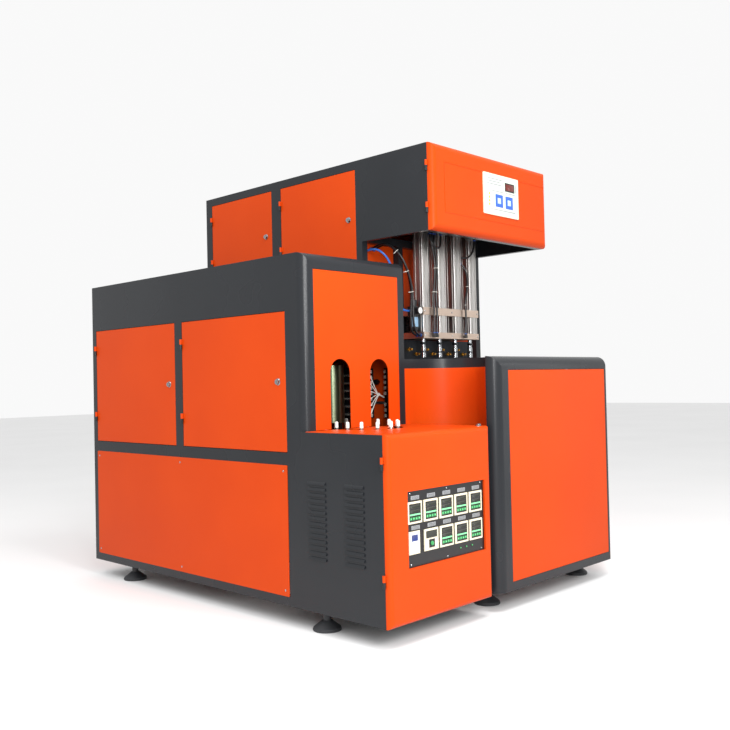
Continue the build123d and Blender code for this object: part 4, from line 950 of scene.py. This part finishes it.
class BOTTLER_OT_pneumatics(bpy.types.Operator):
    """Regulator bowl and gauge, valve stack, brass fittings and the ports of the cylinders"""

    bl_idname = "bottler.pneumatics"
    bl_label = "Pneumatic fittings"

    def execute(self, context):
        steps = ((24.4, 0), (24.6, -52), (24.6, -60), (22.5, -74), (17, -84), (8, -90.4))
        bowl = turned("regulator_bowl", steps, (1056, 740, 1424.6), (0, 0, 1), 32)
        dress(bowl, finish("polycarbonate_bowl"), "machine")
        steps = ((25.6, 0), (25.6, -7), (25, -9), (24.4, -9))
        collar = turned("bowl_collar", steps, (1056, 740, 1425), (0, 0, 1), 32)
        dress(collar, finish("black_nylon"), "machine")
        first = block("knob_ribs", (1055, 721.4, 1484), (1057, 723, 1510), 0.4)
        ribs = []
        for i in range(24):
            turn = math.radians(15 * i)
            copy = first.copy()
            copy.data = first.data.copy()
            bpy.context.scene.collection.objects.link(copy)
            centre = at(1056, 740, 0)
            copy.matrix_world = (
                Matrix.Translation(centre) @ Matrix.Rotation(turn, 4, "Z") @ Matrix.Translation(-centre)
            )
            ribs.append(copy)
        bpy.data.objects.remove(first)
        dress(joined("knob_ribs", ribs), finish("black_nylon"), "machine")
        steps = ((9, 0), (9, 10), (21, 11), (22, 13), (22, 24), (19.5, 26), (18.5, 26), (18, 24.5))
        gauge = turned("pressure_gauge", steps, (1056, 715, 1452), (0, -1, 0), 32)
        dress(gauge, finish("black_nylon"), "machine")
        dial = turned("gauge_dial", ((17.8, 0), (17.8, 0.6), (3, 0.7)), (1056, 690.6, 1452), (0, -1, 0), 32)
        dress(dial, finish("white_counter_abs"), "machine")
        needle = block("gauge_needle", (1055.2, 689.4, 1450), (1056.8, 690.0, 1465), 0.3)
        dress(needle, finish("black_nylon"), "machine")

        valve = block("valve_stack", (1146, 868, 1312), (1208, 930, 1344), 3)
        valves = repeated("valve_stack", valve, [(0, 0, i * 35) for i in range(5)])
        dress(valves, finish("black_nylon"), "machine")
        coil = sunk(block("valve_coils", (1156, 838, 1316), (1188, 868.4, 1340), 2.5), 4, 1.5)
        coils = repeated("valve_coils", coil, [(0, 0, i * 35) for i in range(5)])
        dress(coils, finish("black_nylon"), "machine")
        places = [(x, 868, 1328 + i * 35) for x in (1150, 1203) for i in range(5)]
        dress(screws("valve_screws", places, (0, -1, 0), 3.2, 2.0), finish("zinc_screw"), "machine")
        steps = ((8, 0), (8, 6), (6.5, 6), (6.5, 14), (5, 15), (5, 22), (3, 24))
        silencer = turned("silencers", steps, (1198, 868, 1336), (0, -1, 0), 12)
        silencers = repeated("silencers", silencer, [(0, 0, i * 70) for i in range(3)])
        dress(silencers, finish("machined_brass"), "machine")

        steps = ((11, 0), (11, 9), (7.5, 9), (7.5, 12), (9.6, 13), (6.4, 20), (8.6, 21), (6, 28), (4, 28), (4, 24))
        nipple = turned("water_nipples", steps, (0, 0, 0), (0, -1, 0), 6)
        places = [(x + shift, 815.3, z) for x in ROW_X for shift, z in ((-32, 1236), (32, 1210))]
        dress(repeated("water_nipples", nipple, places), finish("machined_brass"), "machine")

        steps = ((15.5, 0), (17, 1.5), (17, 10.5), (15.5, 12), (12.3, 12))
        nut = turned("nozzle_nuts", steps, (0, 0, 0), (0, 0, 1), 6)
        nuts = repeated("nozzle_nuts", nut, [(x, 730, z) for x in ROW_X for z in (1214, 1262)])
        dress(nuts, finish("black_oxide_steel"), "blow_nozzles")
        return {"FINISHED"}


class BOTTLER_OT_oven_fittings(bpy.types.Operator):
    """Lamp sockets, terminals, knob and cross bar in the oven, and the white tips of the holders"""

    bl_idname = "bottler.oven_fittings"
    bl_label = "Oven fittings"

    def execute(self, context):
        steps = ((9.5, 0), (10.5, 1.5), (10.5, 14), (8, 16), (8, 24), (6.3, 25))
        front = turned("lamp_sockets_front", steps, (0, 0, 0), (0, 1, 0), 16)
        rear = turned("lamp_sockets_rear", steps, (0, 0, 0), (0, -1, 0), 16)
        fronts = repeated("lamp_sockets_front", front, [(x, 700, z) for x, z in LAMPS])
        rears = repeated("lamp_sockets_rear", rear, [(x, 1800, z) for x, z in LAMPS])
        dress(joined("lamp_sockets", [fronts, rears]), finish("steatite_ceramic"), "machine")

        # The front strip leaves a space at the gland.
        rows = [(y, 872 + i * 29.5) for y in (638.5, 741.5) for i in range(9)]
        rows = [(y, z) for y, z in rows if y > 700 or abs(z - 965.4) > 16]
        first = sunk(block("terminals", (684, -6, -9), (692.4, 6, 9), 1.2), 2, 0.6)
        places = [(0, y, z) for y, z in rows]
        dress(repeated("terminals", first, places), finish("steatite_ceramic"), "machine")
        places = [(684, y, z + rise) for y, z in rows for rise in (-4.5, 4.5)]
        dress(screws("terminal_screws", places, (-1, 0, 0), 2.6, 2.0), finish("zinc_screw"), "machine")
        cross = sunk(block("cross_bar", (693, 646.6, 934), (700, 733.4, 948), 1.5), 2, 0.4)
        dress(cross, finish("galvanised_sheet"), "machine")
        steps = ((7, 0), (7, 9), (14, 11), (15.5, 15), (15.5, 27), (13, 32), (6, 33.5))
        knob = turned("damper_knob", steps, (701.4, 692, 1052), (-1, 0, 0), 28)
        dress(knob, finish("phenolic_knob"), "machine")

        # The tips' white is partly a painted highlight, standing in for the gleam on the holders' chrome tops.
        steps = ((9.4, 0), (9.2, 8), (8.9, 16), (8.4, 25), (6.4, 28), (3.2, 29))
        tip = turned("holder_tips", steps, (0, 0, 836), (0, 0, 1), 12)
        tips = repeated("holder_tips", tip, [(x, y, 0) for x, y in chain_pins()])
        dress(tips, finish("white_tip_painted_highlight"), "machine")
        return {"FINISHED"}


class BOTTLER_OT_fasteners(bpy.types.Operator):
    """Screws of the panels, nuts of the feet and tie bars, and rings of the locks"""

    bl_idname = "bottler.fasteners"
    bl_label = "Screws and nuts"

    def execute(self, context):
        radius = sizes().screw_radius

        def edge(low, high, spacing=330):
            count = max(1, round((high - low) / spacing))
            return [low + (high - low) * i / count for i in range(count + 1)]

        def frame_of(lows, highs):
            across, up = edge(lows[0], highs[0]), edge(lows[1], highs[1])
            places = [(a, z) for a in across for z in (lows[1], highs[1])]
            return places + [(a, z) for a in (lows[0], highs[0]) for z in up[1:-1]]

        sets = (
            ("lower_panel_screws", [(-2.5, y, z) for y in (672, 1531, 2390) for z in (72, 638)], (-1, 0, 0)),
            ("oven_back_screws", [(x, 2460, z) for x, z in frame_of((66, 66), (638, 1393))], (0, 1, 0)),
            ("tower_back_screws", [(x, 2350, z) for x, z in frame_of((862, 66), (1820, 2240))], (0, 1, 0)),
            ("tower_side_screws", [(1886, y, z) for y, z in frame_of((955, 66), (2264, 2240))], (1, 0, 0)),
            ("base_side_screws", [(1886, y, z) for y, z in frame_of((127, 66), (867, 1098))], (1, 0, 0)),
            ("oven_side_screws", [(704, y, z) for y, z in frame_of((577, 748), (2394, 1393))], (1, 0, 0)),
            ("lid_screws", [(x, y, 2306) for x, y in frame_of((862, 955), (1820, 2264))], (0, 0, 1)),
            ("plate_screws", [(x, 690, z) for x in PLATE_SCREW_X for z in (1313, 1451)], (0, -1, 0)),
            ("platen_screws", [(x, 815.3, z) for x in PLATE_SCREW_X for z in (1160,)], (0, -1, 0)),
        )
        for name, places, direction in sets:
            dress(screws(name, places, direction, radius), finish("zinc_screw"), "machine")

        steps = ((26, 0), (29, 2), (29, 13), (26, 15), (18.2, 15))
        nut = turned("foot_nuts", steps, (0, 0, -20), (0, 0, 1), 6)
        dress(repeated("foot_nuts", nut, [(x, y, 0) for x, y in FEET]), finish("zinc_screw"), "machine")
        steps = ((66.5, 0), (67.5, 2), (67.5, 8), (65.6, 10))
        pad = turned("foot_pads", steps, (0, 0, -95), (0, 0, 1), 32)
        dress(repeated("foot_pads", pad, [(x, y, 0) for x, y in FEET]), finish("foot_rubber"), "machine")

        steps = ((28, 0), (32, 2), (32, 20), (28, 22), (20.2, 22))
        nut = turned("tie_bar_nuts_front", steps, (0, 0, 0), (0, -1, 0), 6)
        front = repeated("tie_bar_nuts_front", nut, [(x, 120, z) for x, z in TIE_BARS])
        nut = turned("tie_bar_nuts_rear", steps, (0, 0, 0), (0, 1, 0), 6)
        rear = repeated("tie_bar_nuts_rear", nut, [(x, 855.3, z) for x, z in TIE_BARS])
        dress(joined("tie_bar_nuts", [front, rear]), finish("zinc_screw"), "machine")

        steps = ((17, 0), (17, 1.2), (15.5, 2.6), (12.2, 2.6))
        for name, place, direction, body in LOCKS:
            piece = turned(name, steps, place, direction, 28)
            dress(piece, finish("chrome_plate"), body)
        return {"FINISHED"}


class BOTTLER_OT_fan_guard(bpy.types.Operator):
    """Wire guard over the exhaust fan in the oven's back"""

    bl_idname = "bottler.fan_guard"
    bl_label = "Fan guard"

    def execute(self, context):
        wires = []
        for i in range(7):
            wires.append(ring(f"wire_{i}", (352, 2463.5, 1060), (0, 1, 0), 18 + i * 15.5, 1.6, 40))
        steps = ((1.6, 0), (1.6, 236), (1.2, 236.6))
        for i in range(4):
            turn = math.radians(45 * i)
            aim = (math.cos(turn), 0, math.sin(turn))
            start = (352 - 118 * aim[0], 2466.5, 1060 - 118 * aim[2])
            wires.append(turned(f"spoke_{i}", steps, start, aim, 10))
        dress(joined("fan_guard", wires), finish("chrome_plate"), "machine")
        places = [(352 + x * 84, 2464, 1060 + z * 84) for x in (-1, 1) for z in (-1, 1)]
        dress(screws("guard_screws", places, (0, 1, 0), 5.0, 3.0), finish("zinc_screw"), "machine")
        return {"FINISHED"}


class BOTTLER_OT_switchgear(bpy.types.Operator):
    """Mounting plate with ducts, rails, breakers and contactors inside the control box"""

    bl_idname = "bottler.switchgear"
    bl_label = "Switchgear"

    def execute(self, context):
        plate = sunk(block("mounting_plate", (40, 500, 40), (700, 504, 570), 1.5), 14, -3)
        dress(plate, finish("galvanised_sheet"), "machine")
        rails = []
        for i, z in enumerate((150, 310, 470)):
            rails.append(sunk(block(f"rail_{i}", (90, 490, z), (650, 500.4, z + 35), 0.8), 7, 5))
        dress(joined("top_hat_rails", rails), finish("galvanised_sheet"), "machine")
        ducts = []
        for i, z in enumerate((60, 220, 380, 535)):
            ducts.append(sunk(block(f"duct_{i}", (70, 462, z), (670, 500.4, z + 30), 1.5), 3, 2))
        for i, x in enumerate((44, 666)):
            ducts.append(sunk(block(f"side_duct_{i}", (x, 462, 60), (x + 26, 500.4, 565), 1.5), 3, 2))
        dress(joined("wire_ducts", ducts), finish("grey_duct_pvc"), "machine")

        breaker = sunk(block("breakers", (100, 428, 438), (116, 490.4, 518), 1.6), 2.5, 6)
        breakers = repeated("breakers", breaker, [(i * 18, 0, 0) for i in range(12)])
        dress(breakers, finish("breaker_abs"), "machine")
        lever = block("breaker_levers", (104, 420, 470), (112, 436, 486), 1.5)
        levers = repeated("breaker_levers", lever, [(i * 18, 0, 0) for i in range(12)])
        dress(levers, finish("black_nylon"), "machine")
        relay = sunk(block("contactors", (360, 410, 440), (402, 490.4, 516), 3), 6, 3)
        relays = [(i * 48, 0, 0) for i in range(6)] + [(i * 48 - 250, 0, -160) for i in range(5)]
        dress(repeated("contactors", relay, relays), finish("black_nylon"), "machine")
        power = sunk(block("power_regulators", (360, 400, 278), (396, 490.4, 356), 2), 5, 2)
        powers = repeated("power_regulators", power, [(i * 44, 0, 0) for i in range(6)])
        dress(powers, finish("breaker_abs"), "machine")
        clamp = sunk(block("terminal_row", (100, 455, 142), (107, 490.4, 190), 0.8), 1.2, 1.5)
        clamps = repeated("terminal_row", clamp, [(i * 8.2, 0, 0) for i in range(60)])
        dress(clamps, finish("terminal_polyamide"), "machine")
        return {"FINISHED"}


class BOTTLER_OT_stage(bpy.types.Operator):
    """Lay the pale floor, hang the studio lights and set up the camera"""

    bl_idname = "bottler.stage"
    bl_label = "Floor, lights and camera"

    def execute(self, context):
        floor_material, tree, shader = begin("studio_floor")
        place = add(tree, "ShaderNodeTexCoord").outputs["Object"]
        cloud = add(tree, "ShaderNodeTexNoise", {"Scale": 0.7, "Detail": 2.0}, {"Vector": place})
        tone = add(
            tree,
            "ShaderNodeMixRGB",
            {"Color1": linear("#e2e2e2"), "Color2": linear("#e9e9e9")},
            {"Fac": cloud.outputs["Fac"]},
        )
        tree.links.new(tone.outputs["Color"], shader.inputs["Base Color"])
        shader.inputs["Roughness"].default_value = 0.7
        clear()
        bpy.ops.mesh.primitive_plane_add(size=60, location=(0, 0, 0))
        floor = settle(bpy.context.object, "studio_floor")
        floor.data.materials.append(floor_material)

        world = bpy.data.worlds.new("studio_world")
        context.scene.world = world
        world.use_nodes = True
        background = world.node_tree.nodes["Background"]
        background.inputs["Color"].default_value = linear("#ffffff")
        background.inputs["Strength"].default_value = 0.95

        lamps = (
            ("left_softbox", (-3000, 1500, 5200), (796, 1500, 1900), 2.4, 2.4, 95.0),
            ("front_softbox", (-2300, -3700, 2600), (350, 300, 1200), 2.0, 2.0, 110.0),
            ("near_softbox", (-500, -2000, 1900), (360, 400, 1050), 0.9, 0.9, 38.0),
            ("top_softbox", (300, -1500, 5000), (400, 300, 829), 1.8, 1.8, 160.0),
            ("corner_strip", (-2400, -3230, 1700), (60, 560, 1300), 0.2, 1.8, 55.0),
            ("right_softbox", (3900, -1715, 1500), (900, 40, 1000), 0.25, 2.6, 7.0),
        )
        for name, place, aim, width, height, power in lamps:
            clear()
            start = at(*place)
            bpy.ops.object.light_add(type="AREA", location=start)
            lamp = bpy.context.object
            lamp.name = name
            lamp.data.shape = "RECTANGLE"
            lamp.data.size = width
            lamp.data.size_y = height
            lamp.data.energy = power
            lamp.rotation_mode = "QUATERNION"
            lamp.rotation_quaternion = (at(*aim) - start).to_track_quat("-Z", "Y")

        clear()
        bpy.ops.object.camera_add(location=CAMERA_PLACE)
        camera = bpy.context.object
        yaw = math.radians(CAMERA_YAW)
        pitch = math.radians(CAMERA_PITCH)
        roll = math.radians(CAMERA_ROLL)
        forward = Vector((math.sin(yaw) * math.cos(pitch), math.cos(yaw) * math.cos(pitch), math.sin(pitch)))
        level = Vector((math.cos(yaw), -math.sin(yaw), 0))
        upright = level.cross(forward)
        right = level * math.cos(roll) + upright * math.sin(roll)
        up = upright * math.cos(roll) - level * math.sin(roll)
        camera.matrix_world = Matrix.Translation(CAMERA_PLACE) @ Matrix((right, up, -forward)).transposed().to_4x4()
        camera.data.lens = CAMERA_LENS
        camera.data.sensor_width = 36
        camera.data.clip_end = 200
        context.scene.camera = camera
        context.scene.view_settings.view_transform = "Standard"
        return {"FINISHED"}


OPERATORS = (
    BOTTLER_OT_finish_solids,
    BOTTLER_OT_instruments,
    BOTTLER_OT_keypad,
    BOTTLER_OT_hoses,
    BOTTLER_OT_pneumatics,
    BOTTLER_OT_oven_fittings,
    BOTTLER_OT_fasteners,
    BOTTLER_OT_fan_guard,
    BOTTLER_OT_switchgear,
    BOTTLER_OT_stage,
)


class BOTTLER_PT_panel(bpy.types.Panel):
    """Lists the machine's pieces"""

    bl_idname = "BOTTLER_PT_panel"
    bl_label = "Bottle machine"
    bl_space_type = "VIEW_3D"
    bl_region_type = "UI"
    bl_category = "Bottle machine"

    def draw(self, context):
        for operator in OPERATORS:
            self.layout.operator(operator.bl_idname)
        for group in (sizes(), shades()):
            for name in group.__annotations__:
                self.layout.prop(group, name)


CLASSES = (BottleMachineSizes, BottleMachineShades, *OPERATORS, BOTTLER_PT_panel)


def register():
    for cls in CLASSES:
        bpy.utils.register_class(cls)
    bpy.types.Scene.bottle_machine_sizes = bpy.props.PointerProperty(type=BottleMachineSizes)
    bpy.types.Scene.bottle_machine_shades = bpy.props.PointerProperty(type=BottleMachineShades)


def unregister():
    del bpy.types.Scene.bottle_machine_shades
    del bpy.types.Scene.bottle_machine_sizes
    for cls in reversed(CLASSES):
        bpy.utils.unregister_class(cls)


def main():
    """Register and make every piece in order."""
    register()
    for operator in OPERATORS:
        group, name = operator.bl_idname.split(".")
        getattr(getattr(bpy.ops, group), name)()


if __name__ == "__main__":
    main()
